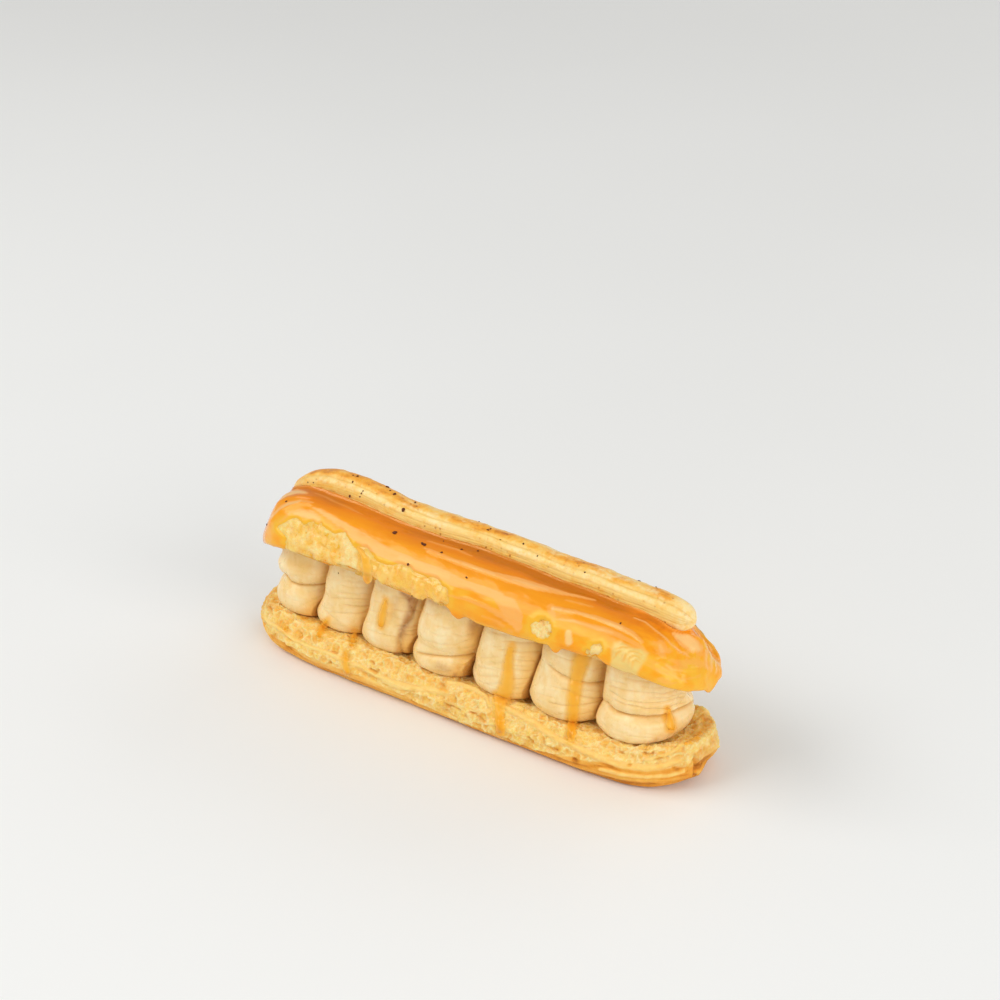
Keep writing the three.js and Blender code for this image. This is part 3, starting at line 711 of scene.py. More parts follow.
CREAM_FOOT, CREAM_TOP = 10.35, 35.15
DOLLOPS = [
    # middle, half length and half width, lean, then creases: height, tilt along x and y, depth, width
    dict(x=-57.1, y=0.8, a=10.7, b=11.9, lean=2.0, folds=[(22.3, -0.5, -0.8, 1.7, 2.0), (15.0, 0.6, 0.4, 0.35, 0.8), (29.0, 0.5, 0.4, 0.35, 0.9)]),
    dict(x=-41.5, y=0.9, a=11.5, b=13.0, lean=4.5, folds=[(18.2, 0.5, 0.3, 0.7, 1.5), (21.5, 0.8, 0.3, 0.45, 0.8), (23.6, 0.9, 0.3, 0.4, 0.7), (29.5, 0.5, 0.2, 0.4, 1.0)]),
    dict(x=-24.0, y=0.5, a=12.0, b=13.8, lean=3.5, folds=[(19.5, 0.6, 0.2, 0.9, 1.6), (25.0, -0.3, 0.2, 0.5, 1.1), (30.5, 0.4, 0.3, 0.35, 0.8)]),
    dict(x=-4.5, y=-0.6, a=12.5, b=14.0, lean=3.0, folds=[(19.6, -0.2, 0.0, 1.3, 1.9), (25.0, 0.5, 0.3, 0.4, 0.9), (28.7, 0.4, 0.2, 0.45, 1.0)]),
    dict(x=15.5, y=-0.2, a=12.5, b=14.0, lean=3.5, folds=[(24.8, 0.5, 0.2, 0.6, 1.2), (30.4, 0.5, 0.2, 0.45, 0.9), (19.0, -0.3, 0.1, 0.35, 0.9), (15.4, 0.4, 0.2, 0.3, 0.7)]),
    dict(x=34.5, y=0.0, a=12.5, b=14.2, lean=3.0, folds=[(27.8, 0.6, 0.2, 1.0, 1.3), (22.0, 0.5, 0.2, 0.6, 1.0), (19.8, 0.4, 0.2, 0.5, 0.8), (15.5, -0.2, 0.1, 0.3, 0.9)]),
    dict(x=54.7, y=0.2, a=12.7, b=13.8, lean=1.5, folds=[(19.3, 0.7, -0.9, 1.7, 2.1), (22.2, 0.4, -0.6, 0.5, 0.7), (25.3, 0.3, -0.3, 0.6, 0.9), (28.6, 0.2, 0.2, 0.4, 0.9)]),
]

LID_LENGTH, LID_WIDTH = 145.0, 34.0
LID_CENTRE_X, LID_CENTRE_Y = 3.2, -1.1
LID_UNDERSIDE, LID_EDGE, LID_EDGE_RADIUS = 34.95, 35.4, 1.6


def droop(x):
    d = np.maximum(np.abs(x - LID_CENTRE_X) - 52.0, 0)
    return 6.5 * (d / (LID_LENGTH / 2 - 52.0)) ** 2.2


def crest(x):
    return 48.9 + 2.0 * bump(x, -45, 16) - 0.045 * soft_positive(x - 8, 12)


# How far each seam between two dollops wanders from the middle: at the foot, half way up and near the top
SEAMS = [(-0.9, 2.5, 2.7), (0.0, 2.0, 2.0), (-1.0, 1.8, 2.6), (-1.4, 0.9, 1.9), (-1.1, 0.6, 1.6), (1.0, 2.5, 2.3)]


def press_plane(a, b, z):
    t = (z - 10.82) / (34.6 - 10.82)
    low, middle, high = SEAMS[DOLLOPS.index(a)]
    wandering = low + (middle - low) * smooth(0.05, 0.5, t) + (high - middle) * smooth(0.5, 0.9, t)
    return 0.5 * (a["x"] + a["lean"] * t + a["a"] + b["x"] + b["lean"] * t - b["a"]) + wandering


# Lobes of each dollop: height, spread, how far it swells
LOBES = [[(13.6, 3.4, 0.5), (26.0, 3.2, 0.9), (19.8, 2.0, -0.7)], [(14.5, 3.2, 0.6), (21.0, 2.5, -0.5)], [(15.0, 3.5, 0.5), (29.0, 3.0, -0.4)],
         [(14.2, 3.2, 0.5), (24.5, 3.5, 0.5), (18.8, 1.8, -0.6)], [(14.0, 3.5, 0.5)], [(15.5, 4.0, 0.7), (24.5, 2.5, -0.5), (30.0, 2.5, 0.4)],
         [(14.0, 3.3, 0.35), (19.6, 1.8, -0.8), (26.0, 5.0, -0.3)]]


# Folds seen from the near side, each a line in the frame: points, depth, width above and below it in pixels
SEEN_FOLDS = [
    [([(278, 572), (284.3, 577.5), (289.3, 582.9), (297.9, 586), (312.1, 586.9), (323.6, 585.7), (333, 583)], 1.6, 2.8, 3.4),
     ([(316, 595), (324, 591.5), (331, 589.5)], 0.26, 1, 1), ([(303, 605), (312, 601), (322, 596.5)], 0.24, 1, 1.4),
     ([(283, 596), (292, 600), (303, 602)], 0.16, 1, 1.4), ([(298, 571), (308, 575), (320, 574), (331, 570)], 0.18, 1.2, 1.6),
     ([(306, 594), (316, 592), (326, 588.5)], 0.18, 0.8, 1)],
    [([(336, 592.5), (355, 594.3), (373, 595)], 0.34, 1, 1.1), ([(331, 597.4), (352.1, 599.5), (373, 599.2)], 0.40, 1, 1.2),
     ([(344, 604.6), (352, 606.4), (360.7, 607.1), (371, 605.4)], 0.50, 1.3, 1.2), ([(327, 612.2), (340, 613.6), (355, 613.8), (370, 612)], 0.42, 1.4, 1.6),
     ([(323, 609), (326, 612.5), (333, 618), (341, 624.5)], 0.34, 1.2, 1.6), ([(338, 584.6), (352, 588), (373, 588.5)], 0.22, 1, 1.4),
     ([(352, 601.8), (362, 602.8), (371, 602)], 0.24, 0.7, 0.8), ([(333, 579.5), (352, 581.5), (373, 582)], 0.16, 1, 1.3)],
    [([(395, 626.2), (410, 627.7), (423, 625)], 0.45, 1, 1.1), ([(396, 630), (410, 631.6), (422, 629)], 0.40, 0.8, 1),
     ([(401, 634.4), (412, 635.6), (422, 632.6)], 0.45, 1, 1.2), ([(365, 629), (380, 634.4), (393, 637), (402, 638.6)], 0.32, 1.4, 1.6),
     ([(364, 621), (374, 624), (386, 625)], 0.20, 1, 1.2), ([(372, 600), (385, 604), (398, 604.5)], 0.22, 1, 1.2),
     ([(394, 609.5), (408, 612), (422, 610)], 0.34, 1, 1.2), ([(392, 596), (408, 599), (424, 598)], 0.30, 1, 1.4),
     ([(396, 618), (408, 620.4), (422, 618)], 0.30, 1, 1.2), ([(368, 610), (380, 613), (394, 614)], 0.18, 1, 1.3)],
    [([(414, 652), (420, 654.5), (430, 656.6), (445, 658), (460, 657.8), (470, 656.6), (480, 653.6)], 1.35, 2.6, 2.8),
     ([(424, 640), (440, 645), (455, 645.3), (474, 640)], 0.28, 1.2, 1.4), ([(434, 624.6), (446, 629), (457, 627)], 0.34, 1.2, 1.4),
     ([(423, 611.6), (432, 615.4), (443, 613)], 0.26, 1.1, 1.3), ([(450, 634), (463, 637.4), (478, 633)], 0.30, 1, 1.3),
     ([(421, 668), (436, 672), (450, 672.5)], 0.24, 1.2, 1.4), ([(428, 632), (440, 636.5), (452, 637)], 0.20, 1, 1.3),
     ([(455, 648), (466, 649.5), (478, 645.5)], 0.26, 0.9, 1.1), ([(452, 664), (462, 666), (474, 663.5)], 0.28, 1, 1.2)],
    [([(502, 641), (521.4, 643), (546, 643.6)], 0.48, 1.1, 1.3), ([(496, 649.5), (521.4, 652.9), (545, 651.6)], 0.46, 1.1, 1.2),
     ([(512, 659.6), (528, 661.6), (544, 661.2)], 0.38, 1, 1.2), ([(486, 664.6), (495, 663.6), (506, 663)], 0.34, 1, 1.1),
     ([(476, 666.6), (484, 668.6), (496, 670.3)], 0.34, 1, 1.1), ([(513, 670), (528, 671.6), (541, 670.6)], 0.42, 1, 1.2),
     ([(473, 675.2), (486, 676.6), (500, 676.4)], 0.30, 1, 1.2), ([(508, 678.8), (524, 679.4), (539, 676.6)], 0.34, 1, 1.2),
     ([(484, 684.2), (494, 684.4), (503, 683.4)], 0.30, 1, 1.1), ([(513, 688.6), (524, 688.6), (535, 686.4)], 0.32, 1, 1.2),
     ([(488, 631.6), (505, 634.4), (522, 633)], 0.24, 1, 1.3), ([(503, 655.6), (518, 657.4), (532, 657)], 0.24, 0.8, 1),
     ([(480, 657.6), (488, 658.4), (498, 657)], 0.26, 0.9, 1), ([(508, 694.4), (518, 695), (530, 692.4)], 0.28, 1, 1.1),
     ([(512, 665.6), (524, 666.6), (540, 666)], 0.26, 0.8, 1), ([(488, 646), (496, 647), (505, 646)], 0.24, 0.8, 1)],
    [([(545, 662), (551.4, 670), (561.4, 677.1), (574.3, 682.3), (590, 684), (601, 683.4), (612, 680)], 1.2, 2.2, 2.4),
     ([(562, 688.4), (572, 693.6), (583.6, 697.3), (595, 699), (608, 697.4)], 0.62, 1.4, 1.6),
     ([(549, 702.4), (560, 705.4), (573.6, 706.6), (592.1, 703.6), (606, 700.4)], 0.52, 1.2, 1.4),
     ([(552, 686.6), (560, 689), (568, 692.8)], 0.30, 1, 1.1), ([(552, 654), (568, 660), (584, 661)], 0.26, 1.2, 1.4),
     ([(578, 668), (594, 670.6), (609, 667.4)], 0.26, 1, 1.3), ([(537, 692.6), (546, 696), (556, 697.6)], 0.26, 1, 1.1),
     ([(556, 713.6), (575, 716), (596, 711.4)], 0.26, 1.2, 1.4), ([(584, 690.6), (596, 692), (607, 690)], 0.30, 0.9, 1.1)],
    [([(602, 700), (607.9, 707.1), (615, 713), (629.3, 717.5), (646.4, 719), (663.6, 717.4), (677.9, 713), (692.1, 705), (699, 698)], 1.75, 2.4, 3.0),
     ([(608, 685), (622.1, 690), (643.6, 693.2), (663.6, 694.4), (686, 689)], 0.42, 1, 1.2),
     ([(608, 690), (617.9, 697), (626.4, 701.2), (643.6, 704.4), (663.6, 703), (686, 697.6)], 0.46, 1, 1.2),
     ([(612, 699.4), (623.6, 704.6), (646.4, 710), (666.4, 709.6), (690, 701.6)], 0.52, 1.1, 1.2),
     ([(622, 678), (645, 682), (672, 683.6)], 0.32, 1, 1.2), ([(648, 697.8), (668, 698.8), (689, 693)], 0.32, 0.8, 1),
     ([(609, 679), (616, 682), (626, 685)], 0.28, 1, 1.1), ([(636, 733), (665, 736.4), (690, 730)], 0.16, 1.2, 1.6),
     ([(640, 686.6), (655, 688.4), (678, 686.8)], 0.24, 0.8, 1)],
]

# Runs of caramel in the frame: x, y and half width in pixels, then how high they stand in millimetres
RUNS = [
    ([(511, 647, 3.0), (509, 655, 3.6), (508, 665, 4.4), (508, 676, 5.2), (506.5, 688, 7.0), (502, 697, 8.6), (500, 705, 6.2), (499.5, 716, 5.2),
      (500, 726, 5.2), (501, 733, 4.8), (501.5, 737, 3.2)], 0.60),
    ([(584, 653, 7.5), (580, 664, 7.6), (576.5, 678, 6.2), (575, 690, 6.0), (573.5, 705, 5.6), (572.5, 720, 5.2), (571.8, 731, 5.2),
      (571.5, 739, 4.2), (571.4, 742, 2.6)], 0.60),
    ([(668, 708.5, 1.8), (669, 714, 2.8), (670, 721, 4.8), (670.4, 727, 4.6), (670.5, 729.5, 2.6)], 0.95),
    ([(386, 600, 1.4), (384.5, 606, 2.8), (382.5, 614, 3.9), (381.4, 622, 3.6), (381, 627, 1.8)], 0.70),
    ([(327, 619.5, 1.6), (323.5, 626, 3.6), (320, 633, 4.2), (318, 637.5, 3.0)], 0.34),
    ([(355.5, 632, 2.0), (354, 637, 3.0), (352, 643, 3.2), (351, 647, 1.8)], 0.34),
    ([(284, 622.5, 1.4), (284.5, 627, 3.2), (284.7, 631, 2.0)], 0.4),
    ([(345, 651, 1.6), (346, 657, 3.0), (345.3, 664, 2.6), (346.6, 670, 4.0), (348.5, 674.5, 2.4)], 0.45),
]


def fold_line(px, points):
    """Height above a line in the frame in pixels, negative above, and how much of the line is there."""
    xs, ys = np.array(points, float).T
    y = np.interp(px[..., 0], xs, ys)
    gate = smooth(xs[0] - 2, xs[0] + 5, px[..., 0]) * smooth(xs[-1] + 2, xs[-1] - 5, px[..., 0])
    return px[..., 1] - y, gate


def gold_near(px, spread=4.0):
    """Thin caramel around its runs."""
    gold = np.zeros(px.shape[:-1])
    for points, _ in RUNS:
        pts = np.array(points, float)
        best = np.full(px.shape[:-1], 1e9)
        for a, b in zip(pts[:-1], pts[1:]):
            e = b[:2] - a[:2]
            w = px - a[:2]
            t = clamp01((w @ e) / max(e @ e, 1e-9))
            best = np.minimum(best, np.sqrt(((w - t[..., None] * e) ** 2).sum(-1)) - (a[2] + (b[2] - a[2]) * t))
        gold = np.maximum(gold, smooth(spread, -0.5, best))
    return gold


def dollop(k):
    row = DOLLOPS[k]
    left = DOLLOPS[k - 1] if k else None
    right = DOLLOPS[k + 1] if k + 1 < len(DOLLOPS) else None
    levels, sides = 158, 176
    u = (2 * PI * np.arange(sides) / sides)[None]
    z = (CREAM_FOOT + (CREAM_TOP - CREAM_FOOT) * np.arange(levels) / (levels - 1))[:, None] + 0 * u
    t = (z - 10.82) / (34.6 - 10.82)
    foot = 1 - 0.10 * (1 - clamp01(t / 0.2)) ** 2
    top = 1 - 0.13 * clamp01((t - 0.30) / 0.70) ** 1.5
    c, s = np.cos(u), np.sin(u)
    ring = np.stack([c * 12 + row["x"] + 0 * z, s * 12 + 0 * z, z], -1)
    seen = smooth(-0.22, 0.12, 0.59 * c - 0.81 * s) + 0 * z
    warp = 0.9 * fbm(ring, (14, 14, 30), 2, 100 + k)

    def sides_at(out):
        a = row["a"] * foot * top + 0.35
        b = row["b"] * foot * top + 0.35
        for height, spread, swell in LOBES[k]:
            out = out + swell * np.exp(-((z - height) / spread) ** 2)
        if k == 6:
            out = out - (1.5 + 1.1 * smooth(16, 20, z)) * smooth(0.1, 0.85, c)
        x = row["x"] + row["lean"] * t + (a + out) * np.sign(c) * np.abs(c) ** 0.9
        y = row["y"] + (b + out) * np.sign(s) * np.abs(s) ** 0.9
        if right:
            p = press_plane(row, right, z) + 0.14
            x = p - soft_positive(p - x, 0.9)
        if left:
            p = press_plane(left, row, z) - 0.14
            x = p + soft_positive(x - p, 0.9)
        sag = (droop(x) * 1.05 + 0.25 * smooth(0, 1, droop(x))) * clamp01(t) ** 2
        return np.stack([x, y, z - sag], -1)

    plain = sides_at(0 * z)
    px = to_px(plain)
    pinch = np.zeros_like(z)
    # Painted shade in the creases, alongside the pinch that shapes them.
    painted_fold_shade = np.zeros_like(z)
    for q, (h, tx, ty, depth, width) in enumerate(row["folds"]):
        d = z - (h + tx * c + ty * s + warp)
        sharp = np.exp(-(np.sqrt(d * d + 0.12 ** 2) - 0.12) / width)
        fade = 0.55 + 0.45 * smooth(-0.4, 0.3, fbm(ring, (9, 9, 60), 2, 120 + 7 * k + q)) if depth < 0.9 else 1.0
        pinch += depth * sharp * fade * (1 - seen)
        painted_fold_shade += depth * np.exp(-(d / 0.5) ** 2) * fade * (1 - seen)
    for points, depth, above, below in SEEN_FOLDS[k]:
        d, gate = fold_line(px, points)
        sharp = np.where(d < 0, np.exp(d / above), np.exp(-d / below))
        pinch += depth * sharp * gate * seen
        painted_fold_shade += depth * np.exp(-((d - 0.3) / 1.1) ** 2) * gate * seen
    # Fine wrinkles left by the nozzle, running round
    fine = np.zeros_like(z)
    for q, (size, deep) in enumerate(((2.6, 0.26), (1.35, 0.15))):
        line = noise(np.stack([c * 12 / 6.5 + 0 * z, s * 12 / 6.5 + 0 * z, (z + warp) / size], -1) + k * 7.7, 210 + q)
        here = smooth(-0.15, 0.4, fbm(ring, (9, 9, 8), 2, 220 + 11 * k + q))
        fine += deep * np.exp(-np.abs(line) / 0.11) * here
    for q in range(9):
        h = CREAM_FOOT + 2.2 + 2.5 * q + 1.2 * np.sin(3.1 * q + k)
        d = z - (h + 0.5 * np.sin(q + 1.3 * k) * c + 0.5 * np.cos(2 * q + k) * s + 1.5 * warp)
        here = smooth(0.05, 0.5, fbm(ring, (7, 7, 40), 2, 200 + 11 * k + q)) * (1 - 0.7 * seen)
        fine += (0.22 + 0.14 * np.sin(5 * q + 2 * k)) * np.exp(-np.sqrt(d * d + 0.01) / 0.40) * here
    ripple = 0.42 * fbm(ring, (8, 8, 5.5), 2, 300 + k) + 0.06 * fbm(ring, (2.2, 2.2, 0.8), 2, 320 + k)
    curl = 1.3 * (1 - clamp01((z - CREAM_FOOT) / 1.8)) ** 2
    groove = np.zeros_like(z)
    if k == 2:
        d = near_line(px, [(418.5, 600), (415, 611.4), (412.1, 620), (402, 628.6), (399.3, 640), (402.1, 654)])
        groove += 0.85 * np.exp(-d / 1.9) * seen
    if k == 3:
        for cx, cy, w in ((459.5, 668.5, 2.6), (462.5, 673.5, 2.0), (454.5, 676, 2.4), (467, 665, 1.6)):
            groove += 0.6 * np.exp(-((px[..., 0] - cx) ** 2 + (px[..., 1] - cy) ** 2) / w ** 2) * seen
    fine = fine * (0.45, 0.70, 0.60, 0.50, 0.80, 0.75, 0.80)[k]
    v = sides_at(ripple - 0.9 * pinch - fine - curl - groove)
    stain_and_shade = np.zeros_like(z)
    flat = v.reshape(-1, 3)
    n = len(flat)
    if k in (2, 3):
        # Most marks are stains; the long streak down the third dollop's right side is partly painted shade, and the
        # mark at its foot beside the gap is painted shade.
        marks = [(near_line(px, [(404, 592), (412, 600), (412, 611), (405, 626), (400.5, 640), (401, 652)]), 6.0, 0.85),
                 (near_line(px, [(419, 598), (421, 620), (417, 640)]), 7.0, 0.42), (near_line(px, [(396, 600), (392, 616)]), 6.0, 0.22),
                 (near_line(px, [(398, 651), (407, 657), (417, 652)]), 4.5, 0.9), (near_line(px, [(409, 600), (413, 612)]), 2.6, 1.0)] if k == 2 else [
                 (near_line(px, [(475, 621), (474, 634)]), 7.5, 0.95), (near_line(px, [(482, 642), (485, 630)]), 6.0, 0.45),
                 (near_line(px, [(438, 666), (450, 671), (458, 668), (464, 676)]), 5.5, 0.38),
                 (near_line(px, [(455, 676), (461, 668)]), 2.4, 0.7), (near_line(px, [(430, 600), (446, 606), (462, 616)]), 4.5, 0.35)]
        for distance, w, strength in marks:
            stain_and_shade = np.maximum(stain_and_shade, strength * smooth(w * 1.25, 0.0, distance) * seen)
    stain_and_shade = np.maximum(stain_and_shade, 0.45 * smooth(0.40, 0.75, fbm(v, (5, 5, 7), 2, 400 + k)) * (1 - seen))
    gold = 0.85 * gold_near(px + 1.2 * np.stack([fbm(v, 3.0, 2, 410), fbm(v, 3.0, 2, 411)], -1)) * seen
    if k == 5:
        gold = np.maximum(gold, 0.35 * smooth(9, 2, near_line(px, [(586, 655), (600, 664)])) * seen)
    if k == 4:
        gold = np.maximum(gold, 0.55 * smooth(9, 1, near_line(px, [(506, 688), (500, 697)])) * seen)
    if k == 2:
        gold = np.maximum(gold, 0.4 * smooth(6, 1, near_line(px, [(386, 598), (390, 608), (386, 624)])) * seen)
    gold = np.maximum(gold, 0.6 * smooth(1.6, 0.2, z - CREAM_FOOT) * smooth(0.0, 0.4, fbm(v, (6, 6, 9), 2, 415)))
    tip_low, tip_high = n, n + 1
    # Painted shade: the deep attribute darkens the deepest creases, a ring round the foot and the seams where dollops
    # press together.
    deep = 0.50 * clamp01(painted_fold_shade - 0.9) + 0.45 * smooth(1.2, 0.3, z - CREAM_FOOT - 0.3)
    # Painted warm shade beside each seam, stronger on the right-hand side of each dollop.
    painted_warm_shade = np.zeros_like(z)
    if right:
        beside = press_plane(row, right, z) - v[..., 0]
        deep = np.maximum(deep, 0.85 * smooth(0.95, 0.40, beside))
        painted_warm_shade = np.maximum(painted_warm_shade, 0.75 * smooth(5.5, 0.6, beside))
    if left:
        beside = v[..., 0] - press_plane(left, row, z)
        deep = np.maximum(deep, 0.85 * smooth(0.95, 0.40, beside))
        painted_warm_shade = np.maximum(painted_warm_shade, 0.35 * smooth(2.5, 0.4, beside))
    verts = np.vstack([flat, [row["x"], row["y"], CREAM_FOOT], [row["x"] + row["lean"], row["y"], flat[-1, 2]]])
    quads = ring_quads(levels, sides)
    tris = np.concatenate([fan(0, sides, tip_low)[:, ::-1], fan((levels - 1) * sides, sides, tip_high)])
    pad = lambda q: np.append(q.ravel(), [0, 0])
    return add_mesh(f"piped_cream_{k + 1}", verts, *outwards(verts, quads, tris), cream_material,
                    {"stain_and_shade": pad(clamp01(stain_and_shade)), "painted_fold_shade": pad(clamp01(painted_fold_shade * 0.75)), "gold": pad(clamp01(gold)),
                     "deep": pad(clamp01(deep)), "painted_warm_shade": pad(clamp01(painted_warm_shade))})


# ---- Rope of choux -----------------------------------------------------------------------------

ROPE_START_X, ROPE_END_X = -63.0, 69.2
ROPE_WIDTH, ROPE_HEIGHT, ROPE_Y, ROPE_AXIS = 8.1, 7.8, -1.2, 49.1


def rope_axis(x):
    """Middle line of the rope: y and z."""
    z = (ROPE_AXIS + 2.6 * bump(x, -41, 14) - 0.036 * soft_positive(x - 8, 12)
         - 3.2 * (clamp01((-46 - x) / 17) ** 2 + 0.4 * clamp01((x - 56) / 14) ** 2))
    return ROPE_Y + 0.5 * wander(x * 0.6, 4), z


def rope():
    stations, sides = 420, 96
    half, mid = (ROPE_END_X - ROPE_START_X) / 2, (ROPE_END_X + ROPE_START_X) / 2
    u = np.linspace(-1, 1, stations)
    x = mid + half * 0.9998 * np.sin(u * PI / 2) * (1 - 0.25 * np.cos(u * PI / 2) ** 2)
    close = np.sqrt(1 - (1 - clamp01((half - np.abs(x - mid)) / (ROPE_WIDTH * 0.55))) ** 2)
    a = 2 * PI * np.arange(sides)[None] / sides
    x = x[:, None] + 0 * a
    close = close[:, None]
    yc, zc = rope_axis(x)
    thick = (1 + 0.04 * wander(x * 2.2, 2)) * (1 - 0.26 * smooth(-54, -62, x))
    zc = zc - 0.5 * smooth(-54, -61, x)
    along_it = np.stack([x, 6 * np.cos(a) + 0 * x, 6 * np.sin(a) + 0 * x], -1)
    drift = 0.10 * fbm(along_it, (16, 30, 30), 2, 500)
    # Angle up from the near side: 0 faces the viewer, 90 degrees is the top
    lift = PI - np.mod(a + drift, 2 * PI)
    out = 0.20 * fbm(along_it, (8, 3.5, 3.5), 3, 501) + 0.11 * fbm(along_it, (2.2, 1.2, 1.2), 3, 502)
    groove = np.zeros_like(x)
    for at, deep, wide in ((0.02, 0.32, 0.055), (0.20, 0.24, 0.05), (0.37, 0.20, 0.05), (-0.16, 0.26, 0.05), (0.92, 0.16, 0.06)):
        g = np.exp(-((lift - at) / wide) ** 2) * (0.55 + 0.45 * smooth(-0.3, 0.3, fbm(along_it, (18, 8, 8), 2, 510 + int(at * 100))))
        out -= deep * g
        groove += g
    for at, deep, wide in ((2.9, 0.2, 0.06), (2.7, 0.16, 0.06), (1.02, 0.10, 0.12)):
        out -= deep * np.exp(-((lift - at) / wide) ** 2)
    # Cross cracks, small and few, on the top
    for cx in (-37, -22.5, -8, 6, 23.5, 31, 44):
        out -= 0.14 * np.exp(-((x - cx - 0.8 * np.sin(3 * a)) / 0.35) ** 2) * smooth(0.5, 1.1, lift) * smooth(2.4, 1.9, lift)
    r = out * np.minimum(close * 1.6, 1.0)
    v = np.stack([x, yc + (0.5 * ROPE_WIDTH * thick * close + r) * np.cos(a),
                  zc + (0.5 * ROPE_HEIGHT * thick * close + r) * np.sin(a)], -1)
    flat = v.reshape(-1, 3)
    n = len(flat)
    ends = [[ROPE_START_X, *(float(q) for q in rope_axis(np.array(ROPE_START_X)))],
            [ROPE_END_X, *(float(q) for q in rope_axis(np.array(ROPE_END_X)))]]
    verts = np.vstack([flat, ends])
    quads = ring_quads(stations, sides)
    tris = np.concatenate([fan(0, sides, n)[:, ::-1], fan((stations - 1) * sides, sides, n + 1)])
    # Painted highlight: a pale band along the near side, pale patches on the top, a painted rim of light along the top
    # back edge, and the right end made pale; the rim is also less browned.
    pale = np.exp(-((lift - 0.62) / 0.26) ** 2) * (0.62 + 0.75 * fbm(along_it, (9, 4, 4), 2, 520))
    pale = np.maximum(pale, 0.7 * smooth(0.12, 0.45, fbm(along_it, (7, 2.6, 2.6), 3, 521)) * smooth(0.8, 1.1, lift) * smooth(2.6, 2.0, lift) * smooth(-40, -12, x))
    edge = smooth(1.5, 2.0, lift) * smooth(3.0, 2.4, lift) * smooth(-30, -5, x) * clamp01(0.75 + 0.8 * fbm(along_it, (8, 3, 3), 2, 523))
    pale = np.maximum(pale, 0.85 * edge)
    pale = np.maximum(pale, smooth(61.5, 67, x) * 0.95)
    toast = 0.42 * smooth(0.75, 1.35, lift) + 0.30 * smooth(0.1, 0.6, fbm(along_it, (5, 3, 3), 3, 530)) * smooth(0.6, 1.0, lift)
    toast = toast + 0.16 * smooth(-15, -38, x) - 0.22 * edge
    toast = toast * smooth(68, 60, x)
    pad = lambda q: np.append(q.ravel(), [0, 0])
    return add_mesh("choux_rope", verts, *outwards(verts, quads, tris), rope_material,
                    {"toast": pad(clamp01(toast)), "pale": pad(clamp01(pale)), "groove": pad(clamp01(groove))})


# ---- Upper half and its glaze ---------------------------------------------------------------------

# How far the near lower edge lies above or below its usual level, along X
NEAR_EDGE = [(-56, 0.3), (-52, -0.1), (-36, -0.2), (-34, 0.7), (-29, 0.95), (-23, 1.35), (-20, 0.6), (-17, -0.15),
             (-12, -0.45), (-7, -0.7), (-2.4, 0.45), (2.0, 0.6), (3.4, -0.1), (5.2, -1.5), (6.4, -1.95), (9, -1.2),
             (13.7, -1.7), (20, -1.5), (26, -1.4), (32, -0.8), (38, -0.1), (44, 0.05), (48, 0.0), (50.6, 1.0),
             (54, -0.1), (58, -0.4), (62, 0.2), (66, 0.4)]
# Drips of glaze on the near side and on the far side: x, half width, length
NEAR_DRIPS = [(37.9, 1.5, 1.9), (6.2, 2.2, 0.6)]
FAR_DRIPS = [(-49, 1.8, 1.6), (-38, 1.2, 3.2), (-20, 2.2, 1.2), (-6, 1.3, 2.6), (9, 2.4, 1.1), (21, 1.2, 3.4), (36, 2.0, 1.2), (48, 1.3, 2.2)]

# Bare and thinly glazed places on the near side, outlined in the frame
BARE = [(277.2, 525.8), (283.3, 521.2), (290, 518.5), (296.3, 517.2), (299, 521), (302.4, 524.4), (307.8, 521.8), (311.6, 521.2),
        (316.2, 524.6), (320, 522.5), (321, 526), (326.9, 530.4), (335.4, 533.5), (344.5, 532.3), (347.6, 537.3),
        (353, 545.7), (359.1, 554.1), (361.4, 559.5), (361.6, 575), (345, 575), (320, 568), (300, 560), (286, 553),
        (284.5, 544), (285.4, 536.5), (280.3, 530.4)]
THIN = [(355, 543.6), (359.6, 547.5), (365.7, 547.5), (370.3, 552.8), (374.9, 559.7), (380.3, 563.1), (391.7, 563.9),
        (400.9, 563.5), (408.6, 567.3), (416.2, 574.2), (423.9, 576.9), (431.6, 576.9), (436.9, 579.2), (440, 585.7),
        (446.5, 590.5), (448, 604), (440, 612), (420, 608), (395, 600), (372, 590), (356, 575)]
PALE_CRUMB = [(541.3, 628.1, 9.4, 11.4), (389, 583.5, 2.2, 5.5), (434.6, 592.5, 3.4, 5.5), (375, 575.5, 2.6, 3.2)]
SMALL_BARE = [(586, 655), (591.4, 645.3), (600.1, 643.7), (601.7, 650.7), (596.9, 658), (590, 658)]
RIGHT_BARE = [(612, 660.5), (611, 650.7), (614.2, 643.1), (620.7, 641), (629.4, 646.4), (640.2, 649.6), (646.7, 654),
              (643.5, 659.4), (640.2, 664.8), (638.1, 674), (640, 684), (625, 678), (609.9, 669)]

